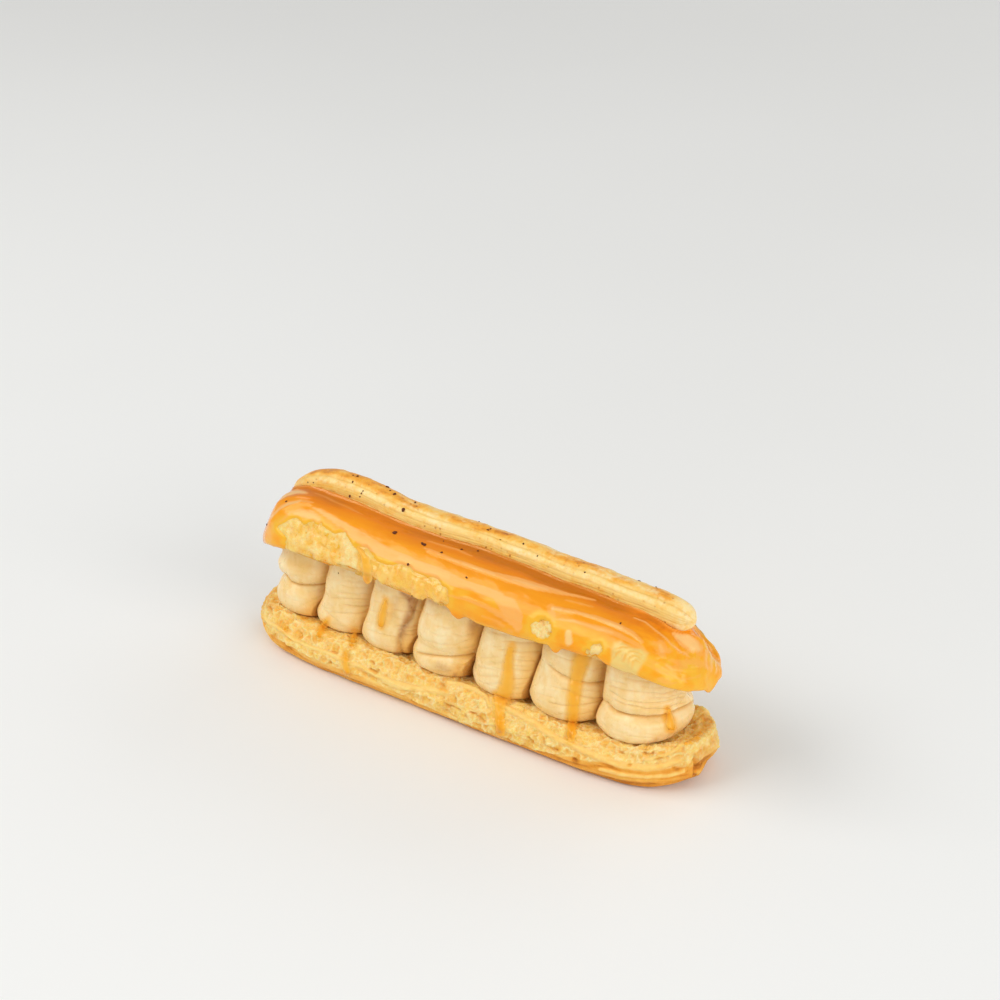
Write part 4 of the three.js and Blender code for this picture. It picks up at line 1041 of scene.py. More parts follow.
# Ridges where the glaze ran and set: line in the frame, height, half width in pixels
GLAZE_RIDGES = [
    ([(430, 550), (441.4, 555), (455.7, 560.7), (472.9, 566.4), (490, 572.9), (510, 580), (530, 585.7), (551.4, 590.7), (567.1, 594.3), (594.3, 600)], 0.22, 2.2),
    ([(430, 541.4), (458.6, 550), (472.9, 556.4)], 0.12, 1.2), ([(565.7, 600), (591.4, 606.4)], 0.12, 1.2),
    ([(447, 595.7), (465.7, 598.6), (484.3, 605.7), (498.6, 614.3), (510, 622.9)], 0.18, 1.4),
    ([(555, 609.3), (576.4, 612.1), (597.9, 618.6), (616.4, 625.7), (632.1, 632.9), (642.1, 641.4), (646.4, 648.6)], 0.26, 1.8),
    ([(633.3, 617.9), (645.2, 623), (655.4, 631.6), (665.6, 639.2), (672.4, 646.9), (679.3, 652.8), (686.9, 655.4)], 0.22, 1.5),
    ([(686, 635.5), (694.6, 637.5), (704.8, 641.8), (713.5, 648.5)], 0.40, 2.2),
    ([(662, 662), (672, 669), (682.7, 670.7), (696.3, 669)], 0.30, 2.4),
    ([(645, 652), (654, 657), (664, 656.5)], 0.25, 1.8), ([(706, 652), (706.5, 672)], 0.22, 1.0), ([(710.5, 652), (711.3, 672)], 0.22, 1.0), ([(714.4, 656), (715.4, 672)], 0.18, 0.9),
    ([(326, 533), (340, 529), (347, 536), (353, 544), (360, 549), (368, 551), (374, 559), (381, 562.5)], 0.20, 1.1),
    ([(271, 521), (278, 513), (287, 507), (299, 503), (312, 503.5)], 0.22, 1.6), ([(269, 512), (277, 503.5), (287, 498), (299, 496), (312, 497.5)], 0.22, 1.3),
]
GLAZE_HOLLOWS = [([(686, 654.5), (694.6, 653.7), (701.4, 652.8), (703.4, 649)], 0.22, 1.8)]

# Painted highlights on the glaze, where it catches the lamps: line in the frame with half widths in pixels, strength
PAINTED_HIGHLIGHTS = [
    ([(424, 548, 0.6), (441.4, 555, 1.0), (455.7, 560.7, 1.4), (472.9, 566.4, 1.3), (490, 572.9, 1.6), (506, 577.6, 2.8), (521, 582, 4.0),
      (536, 586.6, 3.8), (551.4, 590.4, 2.8), (567.1, 594.3, 1.4), (584.3, 597.9, 1.0), (596, 600.6, 0.5)], 0.85),
    ([(428, 541, 0.5), (438.6, 544.3, 0.8), (458.6, 550, 0.9), (472.9, 556.4, 0.5)], 0.5),
    ([(565.7, 600, 0.6), (580, 603.4, 1.0), (593, 606.8, 0.5)], 0.55),
    ([(446, 595, 0.7), (465.7, 598.8, 1.5), (484.3, 605.7, 2.0), (498.6, 613.6, 3.0), (512, 622.9, 2.6)], 0.7),
    ([(482, 616, 0.5), (498, 622, 1.2), (512, 632, 1.0)], 0.5),
    ([(497, 596, 4.0), (508, 606, 9.0), (514, 617, 8.6), (518, 627, 4.0)], 0.90),
    ([(553, 607.6, 2.4), (576.4, 612.1, 1.6), (597.9, 618.0, 2.0), (616.4, 625.7, 2.6), (632.1, 633.4, 2.6), (642.1, 642.4, 1.5)], 0.75),
    ([(560, 619, 0.8), (575, 621.5, 1.4), (590, 626, 2.2), (604, 629, 2.4), (617.6, 634.4, 2.4), (629.6, 640.4, 2.0), (640.4, 646.4, 2.0), (646.4, 653, 1.2)], 0.7),
    ([(294, 513, 2.0), (301, 512.5, 3.8), (310, 514.5, 4.4), (317, 518.5, 3.4), (320, 522, 1.5)], 0.8),
    ([(551, 608, 4.4), (554, 620, 2.0)], 0.45),
    ([(313, 507, 0.6), (324, 513.5, 2.0), (338, 522, 3.4), (352, 532, 4.8), (366, 541.4, 5.8), (382, 550.8, 6.0), (400, 558.4, 5.6), (418, 566, 5.2),
      (436, 572, 5.6), (452, 579.6, 5.4), (470, 586, 4.0), (486, 591, 3.8), (500, 596, 4.0)], 0.92),
    ([(660, 643, 3.0), (663, 649, 4.4), (661, 655, 2.5)], 0.7),
    ([(674, 634, 2.0), (684, 640, 6.4), (694, 646, 6.6), (700, 648, 3.5)], 1.0),
    ([(706, 652, 1.4), (706.5, 668, 1.2)], 0.85), ([(710.8, 650, 1.1), (711.5, 670, 1.0)], 0.8), ([(686, 662, 1.0), (700, 664, 3.4), (712, 668, 1.6)], 0.55),
    ([(668, 660, 1.0), (682, 663, 2.4), (696, 660, 2.0)], 0.5),
    ([(640, 660, 1.0), (654, 668, 2.0), (668, 674, 1.5), (684, 680, 1.2), (700, 676, 1.0)], 0.35),
    ([(634, 618, 0.5), (645.2, 622.4, 0.8), (655.4, 630.8, 0.9), (665.6, 638.6, 1.0), (672.4, 646.2, 1.1), (679.3, 652.2, 1.0), (686, 655, 0.6)], 0.85),
    ([(272, 517, 1.2), (279, 509, 1.7), (289, 503.5, 2.2), (301, 500.8, 1.5), (313, 503, 0.8)], 0.75),
    ([(270.5, 509.5, 0.8), (277.5, 500.5, 1.1), (287, 494, 2.1), (297, 490.8, 2.4), (307, 493, 1.0)], 0.85),
    ([(280, 522, 0.9), (286, 517, 1.3), (292, 512, 1.0)], 0.5), ([(265.4, 526, 1.0), (268, 520, 0.9)], 0.6),
    ([(268, 527, 1.0), (270, 534, 1.6), (270.5, 540, 1.0)], 0.35),
    ([(315, 493, 0.4), (330, 499, 0.8), (350, 508, 0.8), (362, 514, 0.4)], 0.35), ([(340, 496, 0.4), (352, 501.6, 0.6), (364, 507, 0.4)], 0.3),
]

# Painted highlights: almost white gleams, and a few milky patches
MILKY_AND_HIGHLIGHTS = [
    ([(568.4, 633.0, 3.0), (568.9, 641.5, 3.6)], 0.85), ([(677, 636, 2.0), (686, 640, 4.6), (694, 645.6, 4.6), (698, 649, 2.2)], 0.62),
    ([(634, 618, 0.3), (645.2, 622.4, 0.55), (655.4, 630.8, 0.6), (665.6, 638.6, 0.7), (672.4, 646.2, 0.8), (679.3, 652.2, 0.8), (686, 655, 0.4)], 0.28),
    ([(705.6, 650, 0.8), (706, 668, 0.7)], 0.55), ([(710.6, 651, 0.8), (711.2, 671, 0.7)], 0.55), ([(715, 656, 0.6), (716.2, 672, 0.6)], 0.4),
    ([(271, 518, 0.5), (278.5, 509.6, 0.8), (288, 504, 1.2), (300, 501, 0.8)], 0.72), ([(277, 501.4, 0.5), (287, 494.6, 1.1), (297, 491.4, 1.3), (305, 492.6, 0.5)], 0.72),
    ([(295, 514, 1.2), (303, 513.4, 2.6), (312, 516, 2.6), (318, 520, 1.2)], 0.38),
    ([(553, 608.4, 1.4), (561, 610.2, 1.4)], 0.45), ([(566, 611.4, 0.8), (584, 614.6, 0.7), (606, 622, 1.0), (622, 628.6, 1.1)], 0.45),
    ([(556, 619.4, 0.6), (575, 621.3, 0.9), (592, 626.6, 1.2), (612, 632.4, 1.2)], 0.35), ([(513, 580, 0.9), (530, 585.2, 1.4), (548, 590, 0.9)], 0.35),
    ([(463, 563.8, 0.5), (476, 568.4, 0.9), (494, 574.4, 1.0)], 0.40), ([(660, 645, 1.5), (662, 651, 2.0)], 0.35), ([(400, 558, 2.4), (424, 567, 2.4), (448, 577, 2.0)], 0.22),
]
# Curved wrinkles in the pale skin near the right end
SWIRLS = [[(622, 660), (624.5, 653.6), (630, 650), (636.4, 650.4), (641, 654)], [(626, 664), (628, 657.6), (632.6, 654.2), (637.6, 655.4), (641, 659.6)],
          [(630.4, 667), (631.8, 661.2), (635.4, 658.6), (638.8, 661.4)], [(616, 648), (622, 645.6), (628.6, 647)], [(613, 657), (616, 652), (619.6, 650)]]


def lid_rings(ns, ne):
    """Insets for each ring of the upper half: across the underside, round the lip, up to the crest."""
    insets = [16.9, 14.5, 12.0, 9.5, 7.5, 5.9, 4.6, 3.6, 2.8, 2.2]
    angles = list(np.linspace(-1.40, -0.05, 9))
    d = 16.9 * np.linspace(0.0, 1.0, 4000) ** 1.6 + 0.02
    share = (1 - np.abs(1 - np.minimum(d, 17.0) / 17.0) ** 2.15) ** 0.62
    length = np.concatenate([[0], np.cumsum(np.hypot(np.diff(d), np.diff(share) * 11.6))])
    where = np.concatenate([np.arange(0.15, length[-1], 0.37), [length[-1]]])
    dome = np.interp(where, length, d)
    return insets, angles, list(np.sort(np.concatenate([dome[(dome < 12.0) | (dome > 13.6)], np.linspace(12.1, 13.5, 6)])))


def lid_shape(rings, ns, ne, edge_shift):
    """Points of the upper half for those rings. edge_shift(x, nx, ny) moves the lower edge up or down."""
    insets, angles, dome = rings
    r = LID_EDGE_RADIUS
    all_insets = np.array(insets + [r - r * np.cos(a) for a in angles] + dome)
    x, y, nx, ny = stadium(LID_LENGTH, LID_WIDTH, all_insets, ns, ne, 0.88)
    k0, k1 = len(insets), len(insets) + len(angles)
    z = np.zeros_like(x)
    rough = np.zeros_like(x)
    z[:k0] = LID_UNDERSIDE
    for q, a in enumerate(angles):
        z[k0 + q] = LID_EDGE + r + r * np.sin(a)
        rough[k0 + q] = 0.35
    low = LID_EDGE + 1.9
    d = all_insets[k1:, None]
    full = (1 + 0.6 * smooth(48, 66, -x[k1:]) * (1 - d / 16.7)) * (1 + 0.10 * smooth(56, 72, -x[k1:]) * (1 - d / 16.7))
    share = (1 - np.abs(1 - np.minimum(d * full, 17.0) / 17.0) ** 2.15) ** 0.62
    z[k1:] = low + (crest(x[k1:] + LID_CENTRE_X) - low) * share
    rough[k1:] = 0.35 * (1 - d / 20)
    w = rough * wander(x * 1.1 - 2.0 * y, 5)
    px_ = x - nx * w + LID_CENTRE_X
    back = np.where(y > 0, 1 - 0.34 * smooth(30, 76, px_), 1.0)
    py_ = (y - ny * w) * back + LID_CENTRE_Y
    shift = edge_shift(px_, nx, ny) * smooth(5.5, 0.3, z - LID_EDGE) * (z > LID_UNDERSIDE + 0.01)
    # The right shoulder falls away behind the rope, the left one slopes
    shift = shift - 4.6 * smooth(50, 67, px_) * smooth(-1.5, 5.5, py_) * smooth(1.5, 7.0, z - LID_EDGE)
    shift = shift - 1.5 * smooth(-60, -68, px_) * smooth(2.5, 8.0, z - LID_EDGE) + 0.5 * bump(px_, -60.5, 2.5) * smooth(6, 10, z - LID_EDGE)
    v = np.stack([px_, py_, z + shift - droop(px_)], -1)
    return v, nx, ny, z, k0, k1


def edge_moved(x, nx, ny, drips):
    near = smooth(0.15, 0.75, -ny)
    far = smooth(0.15, 0.75, ny)
    s = along(NEAR_EDGE, x) * near
    f = (0.5 * wander(x * 2.3, 31) + 0.25 * np.sin(0.9 * x)) * far
    if drips:
        for cx, w, deep in NEAR_DRIPS:
            s = s - deep * np.exp(-np.abs((x - cx) / w) ** 2.6) * near
        for cx, w, deep in FAR_DRIPS:
            f = f - deep * np.exp(-np.abs((x - cx) / w) ** 2.6) * far
        f = f - 0.5 * far
    return s + f


# Painted highlights along lines in the frame, fading out past each line's half width.
def painted_highlight_lines(px, runs=PAINTED_HIGHLIGHTS, soft=0.55):
    pale = np.zeros(px.shape[:-1])
    for points, strength in runs:
        pts = np.array(points, float)
        best = np.full(px.shape[:-1], 1e9)
        for a, b in zip(pts[:-1], pts[1:]):
            e = b[:2] - a[:2]
            w = px - a[:2]
            t = clamp01((w @ e) / max(e @ e, 1e-9))
            best = np.minimum(best, np.sqrt(((w - t[..., None] * e) ** 2).sum(-1)) - (a[2] + (b[2] - a[2]) * t))
        pale = np.maximum(pale, strength * smooth(soft, -soft, best))
    return pale


def main_part(quads, tris, count):
    """The faces of the largest connected part, and its open edges."""
    def sides(q, t):
        return np.concatenate([q[:, [0, 1]], q[:, [1, 2]], q[:, [2, 3]], q[:, [3, 0]], t[:, [0, 1]], t[:, [1, 2]], t[:, [2, 0]]])

    edges = sides(quads, tris)
    label = np.arange(count)
    while True:
        low = np.minimum(label[edges[:, 0]], label[edges[:, 1]])
        new = label.copy()
        np.minimum.at(new, edges[:, 0], low)
        np.minimum.at(new, edges[:, 1], low)
        new = new[new]
        if (new == label).all():
            break
        label = new
    largest = np.bincount(label[quads[:, 0]], minlength=count).argmax()
    quads, tris = quads[label[quads[:, 0]] == largest], tris[label[tris[:, 0]] == largest]
    edges = sides(quads, tris).astype(np.int64)
    return quads, tris, edges[~np.isin(edges[:, 0] * count + edges[:, 1], edges[:, 1] * count + edges[:, 0])]


def upper_half():
    ns, ne = 274, 100
    rings = lid_rings(ns, ne)

    def choux_edge(x, nx, ny):
        return np.maximum(edge_moved(x, nx, ny, False), -0.35)

    def glaze_edge(x, nx, ny):
        s = edge_moved(x, nx, ny, True)
        right = smooth(0.5, 0.9, nx)
        return s - 2.0 * right * np.exp(-((ny + 0.06) / 0.10) ** 2) - 0.7 * right * np.exp(-((ny - 0.45) / 0.15) ** 2) \
            - 1.0 * smooth(0.55, 0.95, -nx) * smooth(0.5, -0.2, ny)

    def shape(edge):
        v, nx, ny, z, k0, k1 = lid_shape(rings, ns, ne, edge)
        yc, zc = rope_axis(v[..., 0])
        beyond = np.maximum(np.maximum(ROPE_START_X + 4 - v[..., 0], v[..., 0] - ROPE_END_X + 6), 0)
        away = np.sqrt((v[..., 1] - yc) ** 2 + beyond ** 2)
        top = (np.arange(len(v)) >= k1)[:, None] * 1.0
        spread = 3.2 + 2.8 * smooth(-1.5, 2.5, v[..., 1])
        v[..., 2] += top * 1.5 * np.exp(-(((v[..., 0] - 70.5) / 4.0) ** 2) - ((v[..., 1] + 1.5) / spread) ** 2)
        lowered = -0.45 * np.exp(-((away - 5.4) / 1.6) ** 2) - 1.5 * smooth(3.9, 3.2, away)
        rising = 0.42 * np.exp(-np.maximum(away - 3.95, 0) / 0.30) * (away > 3.2)
        v[..., 2] += top * (lowered + rising)
        v[..., 2] += top * 2.2 * smooth(4.6, 2.6, away) * smooth(56, 64, v[..., 0]) * smooth(-2.5, 0.0, v[..., 1])
        # Lengthwise swells on the far slope, like those seen on the near one
        behind = v[..., 1] - LID_CENTRE_Y
        x = v[..., 0]
        for centre, height, width, seed in ((9.4, 0.26, 0.75, 601), (12.2, 0.20, 0.9, 602), (7.0, 0.14, 0.6, 603)):
            line = centre * (1 - 0.3 * smooth(30, 76, x)) + 0.6 * wander(x * 0.7, seed + 9)
            v[..., 2] += top * height * (0.6 + 0.4 * wander(x * 0.8, seed + 7)) * np.exp(-((behind - line) / width) ** 2) * smooth(64, 50, x) * smooth(-68, -58, x)
        return v, nx, ny, z, k0, k1, away

    v, nx, ny, z, k0, k1, away = shape(choux_edge)
    k, n = nx.shape
    quads = ring_quads(k, n)
    q0, t0 = zip_across(0, ns, ne)
    q1, t1 = zip_across((k - 1) * n, ns, ne)
    quads_all = np.concatenate([quads, q0[:, ::-1], q1])
    tris_all = np.concatenate([t0[:, ::-1], t1])

    def facing_out(v):
        nor = point_normals(v.reshape(-1, 3), quads_all, tris_all).reshape(v.shape)
        return -nor if nor[2, 10, 2] > 0 else nor

    nor = facing_out(v)
    g, _, _, _, _, _, _ = shape(glaze_edge)
    gnor = facing_out(g)

    def places(v, nor):
        """Where the near side is bare or thinly glazed. Distances in millimetres, positive inside."""
        px = to_px(v)
        jag = np.stack([fbm(v, 3.4, 3, 611, 0.5), fbm(v, 3.4, 3, 612, 0.5)], -1) * 2.4
        q = px + jag
        torn = px + np.stack([fbm(v, 1.7, 3, 613, 0.6), fbm(v, 1.7, 3, 614, 0.6)], -1) * 3.8
        seen = (nor @ -FORWARD > 0.0) & (v[..., 1] < 3)
        mm = 0.28
        none = np.full(px.shape[:-1], -40.0)
        fields = [inside(q, BARE), inside(q, THIN), np.max([oval(torn, *o) for o in PALE_CRUMB], 0), inside(torn, SMALL_BARE),
                  inside(q, RIGHT_BARE)]
        out = [np.where(seen, f, none) * mm for f in fields]
        height = z - LID_EDGE
        limit = 3.0 + 2.4 * fbm(v * [1, 0, 0], 15, 2, 621) + 1.0 * fbm(v, 4.0, 2, 622)
        far = np.where(ny > 0.2, np.minimum((limit - height) * 0.9, 3.0) - 12 * smooth(0.92, 0.5, ny), -11.0)
        opened = far - 1.0 * smooth(-0.2, 0.3, fbm(v, (9, 9, 6), 2, 623))
        return out, far, opened, px, seen

    (bare, thin, pale, small, right), far, opened, px, seen = places(v, nor)
    deepest = np.maximum.reduce([bare, pale, small, opened])
    under = (z < LID_UNDERSIDE + 0.05)
    crumb = np.where(under, 1.0, smooth(-0.1, 0.35, deepest))
    in_thin = smooth(-0.1, 0.4, thin)
    wet = np.maximum(in_thin, smooth(0.0, 0.4, far) * (1 - smooth(0.0, 0.4, opened)))
    wet = np.maximum(wet, (1 - crumb) * 0.6)
    runs = np.maximum.reduce([smooth(4.4, 1.6, near_line(px, [(332, 544), (332.5, 556), (333, 566)])),
                              smooth(3.0, 0.8, near_line(px, [(300.5, 523), (299.5, 534)])),
                              smooth(4.4, 1.2, near_line(px, [(300, 551), (312, 556), (322, 561)])),
                              smooth(2.6, 0.8, near_line(px, [(313, 527), (316, 538), (322, 546)])),
                              smooth(3.6, 1.4, near_line(px, [(606, 643), (607, 657)]))]) * seen
    blotch = smooth(0.05, 0.45, fbm(v, (2.6, 2.6, 3.4), 3, 626)) * seen
    wet = np.maximum(wet, 0.95 * runs * crumb)
    wet = np.maximum(wet, crumb * (bare > 0) * (0.12 + 0.80 * blotch) * (1 - smooth(337, 343, px[..., 0])))
    walls, who = webbed(v, (3.2, 2.8, 2.8), 640, 0.55)
    walls2, who2 = webbed(v, 1.5, 650, 0.6)
    patches = smooth(-0.2, 0.4, np.maximum(pale, small))
    calm = smooth(0.0, 0.5, fbm(v, (10, 8, 8), 2, 631))
    calm = np.maximum(calm, smooth(336, 342, px[..., 0]) * smooth(363, 358, px[..., 0]) * seen * 0.9)
    active = np.maximum(crumb, 0.55 * in_thin) * (1 - 0.6 * calm) * (1 - 0.35 * patches)
    offset = np.full_like(z, -0.36)
    offset[under] = -0.05
    d = offset + crumb * (0.30 * fbm(v, 3.6, 2, 670) + 0.10 * fbm(v, 1.1, 2, 671) + 0.10) - 0.12 * patches
    ringed = active * np.where(bare > 0, 0.35, 1.0) * (1 + 0.5 * patches)
    d -= ringed * (0.34 * (1 - walls) + 0.16 * (1 - walls2) - 0.15)
    relief = fbm(v, (2.3, 2.3, 3.2), 3, 673)
    d += in_thin * (0.26 + 0.66 * relief + 0.10 * fbm(v, 0.9, 2, 674))
    wet = wet * (1 - 0.40 * in_thin * (1 - crumb) * smooth(0.12, 0.42, relief))
    lumps = fbm(v, (3.0, 3.0, 3.4), 3, 676)
    d += crumb * (bare > 0) * 0.62 * lumps * (1 - 0.6 * calm)
    pits = smooth(0.02, 0.35, fbm(v, (1.5, 1.5, 1.5), 2, 677))
    d -= crumb * (0.22 * (bare > 0) * (1 - calm) + 0.42 * patches) * pits
    lower_line = seen * smooth(1.2, 0.2, z - LID_EDGE) * crumb
    toast = crumb * 0.22 * smooth(0.15, 0.6, fbm(v, 3.0, 2, 680)) + under * 0.12 + 0.12 * lower_line
    # Painted shade in the bubbles, between the lumps and in the pits.
    painted_pore_shade = clamp01(ringed * (0.55 * (1 - walls) * (who < 0.55) + 0.40 * (1 - walls2) * (who2 < 0.6)) + crumb * (bare > 0) * 0.6 * smooth(-0.15, -0.5, lumps)
                   + crumb * pits * (0.35 * (bare > 0) * (1 - calm) + 0.85 * patches))
    body = v + nor * d[..., None]
    lid = add_mesh("upper_half", body.reshape(-1, 3), *outwards(body.reshape(-1, 3), quads_all, tris_all), choux_material,
                   {"crumb": crumb, "toast": clamp01(toast), "painted_pore_shade": painted_pore_shade, "wet": clamp01(wet),
                    # Painted highlight on the bubble walls and the tops of the lumps, with the pale crumb patches and a
                    # pale stretch on the near side.
                    "pale_web_and_highlight": clamp01(ringed * clamp01(0.8 * walls * (who < 0.55) + 0.4 * walls2 * (who2 < 0.6)) + 0.10 * patches
                                   + crumb * 0.6 * smooth(0.2, 0.5, lumps) + 0.8 * crumb * seen * smooth(336, 342, px[..., 0]))})

    # The glaze: a closed skin, thicker over the top, ending in a soft lip
    (bare, thin, pale, small, right), far, opened, px, seen = places(g, gnor)
    gap = np.maximum.reduce([bare, thin, pale, small, far])
    first = k0 + 1
    depth_in = -gap
    ring_angle = np.full(k, 99.0)
    ring_angle[k0:k1] = np.linspace(-1.40, -0.05, k1 - k0)
    under_edge = ((ring_angle - ring_angle[first]) * LID_EDGE_RADIUS)[:, None]
    depth_in = np.minimum(depth_in, np.where(under_edge > 50, 99.0, under_edge * 1.2))
    t = clamp01((depth_in + 0.15) / 1.1)
    height = -0.62 + 0.62 * np.sqrt(1 - (1 - t) ** 2)
    height = height + 0.07 * np.exp(-((depth_in - 0.7) / 0.5) ** 2)
    height = height + 0.10 * fbm(g, (9, 3, 3), 2, 690) + 0.05 * fbm(g, (3, 1.4, 1.4), 2, 691)
    height = height + 0.35 * smooth(60, 70, g[..., 0]) * np.maximum(fbm(g, (5, 3.5, 5), 2, 692), 0)
    towards = smooth(0.02, 0.30, gnor @ -FORWARD) * smooth(4.5, 1.0, g[..., 1])
    for points, tall, wide in GLAZE_RIDGES:
        height = height + tall * np.exp(-(near_line(px, points) / wide) ** 2) * towards
    for points, deep, wide in GLAZE_HOLLOWS:
        height = height - deep * np.exp(-(near_line(px, points) / wide) ** 2) * towards
    soft_q = px + 2.5 * np.stack([fbm(g, 3.0, 2, 703), fbm(g, 3.0, 2, 704)], -1)
    bare_skin = smooth(-0.8, 0.7, inside(soft_q, RIGHT_BARE) * 0.28) * towards
    # Painted shade: the pale skin is thinned just below each swirl ridge, so the glaze shows more golden there.
    swirl_shade = np.zeros_like(height)
    for points in SWIRLS:
        height = height + 0.30 * np.exp(-(near_line(px, points) / 0.85) ** 2) * towards
        swirl_shade = np.maximum(swirl_shade, np.exp(-(near_line(px - [0.9, 1.3], points) / 0.8) ** 2) * towards)
    height = height + bare_skin * 0.14 * fbm(g, (1.8, 1.8, 1.8), 2, 705)
    outer = g + gnor * height[..., None]
    inner = g - gnor * 0.85
    keep_ring = np.arange(k) >= first
    solid = ((height > -0.60) | (depth_in > 0.3)) & keep_ring[:, None]
    flat_keep = solid.ravel()
    m = k * n
    for _ in range(12):
        q_ok = flat_keep[quads_all].any(1) & (quads_all // n >= first).all(1)
        t_ok = flat_keep[tris_all].any(1) & (tris_all // n >= first).all(1)
        gq, gt, rim = main_part(quads_all[q_ok], tris_all[t_ok], m)
        pinched = np.flatnonzero(np.bincount(rim[:, 0], minlength=m) > 1)
        if not len(pinched):
            break
        # Two edges of the skin that meet at a point are joined there
        flat_keep[pinched] = True
    wall = np.stack([rim[:, 1], rim[:, 0], rim[:, 0] + m, rim[:, 1] + m], -1)
    verts = np.vstack([outer.reshape(-1, 3), inner.reshape(-1, 3)])
    allq = np.concatenate([gq, gq[:, ::-1] + m, wall])
    allt = np.concatenate([gt, gt[:, ::-1] + m])
    used = np.unique(np.concatenate([allq.ravel(), allt.ravel()]))
    new = np.full(2 * m, -1)
    new[used] = np.arange(len(used))
    # Deep colour beside the rope, light on the lower slope
    depth = 0.91 - 0.40 * smooth(5.0, 12.0, away) + 0.10 * fbm(g, (25, 5, 5), 2, 695)
    depth = depth + 0.26 * bump(g[..., 0], 27, 20) * np.exp(-((away - 5.0) / 1.8) ** 2)
    lower = smooth(13.2, 15.4, away)
    ends = np.maximum(smooth(50, 60, g[..., 0]), smooth(-60, -66, g[..., 0]))
    depth = depth - 0.22 * lower + 0.46 * np.maximum(lower, ends) * fbm(g, (6, 2.6, 2.6), 3, 699, 0.6)
    depth = depth - 0.32 * smooth(60, 72, g[..., 0]) - 0.20 * smooth(-62, -68, g[..., 0]) * smooth(8, 13, away)
    depth = depth - 0.45 * smooth(2.4, 0.3, depth_in) * (under_edge > 50)
    depth = depth - 0.50 * smooth(7, 1, np.abs(oval(px, 541.3, 628.1, 9.4, 11.4))) * seen
    # Painted highlights on the near side of the glaze, stored in its pale attribute.
    painted_highlight = painted_highlight_lines(px + 0.7 * np.stack([fbm(g, (6, 2, 2), 2, 696), fbm(g, (6, 2, 2), 2, 697)], -1)) * seen
    # Painted highlight patches near both ends.
    painted_highlight = np.maximum(painted_highlight, 0.5 * ends * smooth(0.16, 0.40, fbm(g, (5, 2.2, 2.2), 3, 700)))
    painted_highlight = painted_highlight * (1 - bare_skin)
    # Painted almost white gleams, with a few milky patches.
    milk_and_highlight = painted_highlight_lines(px + 0.5 * np.stack([fbm(g, (4, 2, 2), 2, 706), fbm(g, (4, 2, 2), 2, 707)], -1), MILKY_AND_HIGHLIGHTS, 1.0) * towards
    skin = 0.95 * bare_skin * (1 - 0.50 * swirl_shade)
    # Painted highlight streaks on the far side, like those on the near side.
    far_highlight_streaks = smooth(0.10, 0.42, fbm(g, (26, 2.4, 2.4), 3, 698)) * smooth(5.5, 9.0, away) * (~seen)
    painted_highlight = np.maximum(painted_highlight, 0.7 * far_highlight_streaks)
    # Painted highlight along the foot of the rope, where the glaze rises to meet it.
    painted_highlight = np.maximum(painted_highlight, 0.55 * np.exp(-((away - 4.05) / 0.20) ** 2))
    values = {}
    for key, field in (("depth", clamp01(depth)), ("pale", clamp01(painted_highlight)), ("milk_and_highlight", clamp01(milk_and_highlight)), ("skin", clamp01(skin))):
        values[key] = np.concatenate([field.ravel(), field.ravel()])[used]
    glaze = add_mesh("coffee_glaze", verts[used], *outwards(verts[used], new[allq], new[allt]), glaze_material, values)
    return lid, glaze


base = lower_half()
creams = [dollop(k) for k in range(len(DOLLOPS))]
lid, glaze = upper_half()
rope_piece = rope()


# ---- Drips of caramel and specks of coffee, laid on what carries them ------------------------------

bpy.context.view_layer.update()


def meet(objects, origin, direction):
    """Where a ray first meets the objects: point and normal in millimetres, or None."""
    o = Vector((origin + np.array([SHIFT_X, 0, 0])) * 0.001)
    best = None
    for ob in objects:
        hit, where, normal, _ = ob.ray_cast(o, Vector(direction))
        if hit:
            far = (where - o).length
            if best is None or far < best[0]:
                best = (far, np.array(where) * 1000 - np.array([SHIFT_X, 0, 0]), np.array(normal))
    return best and best[1:]


def path_points(points, step):
    pts = np.array(points, float)
    length = np.concatenate([[0], np.cumsum(np.hypot(*np.diff(pts[:, :2], axis=0).T))])
    s = np.linspace(0, length[-1], max(6, int(length[-1] / step)))
    return np.stack([np.interp(s, length, pts[:, c]) for c in range(pts.shape[1])], -1)


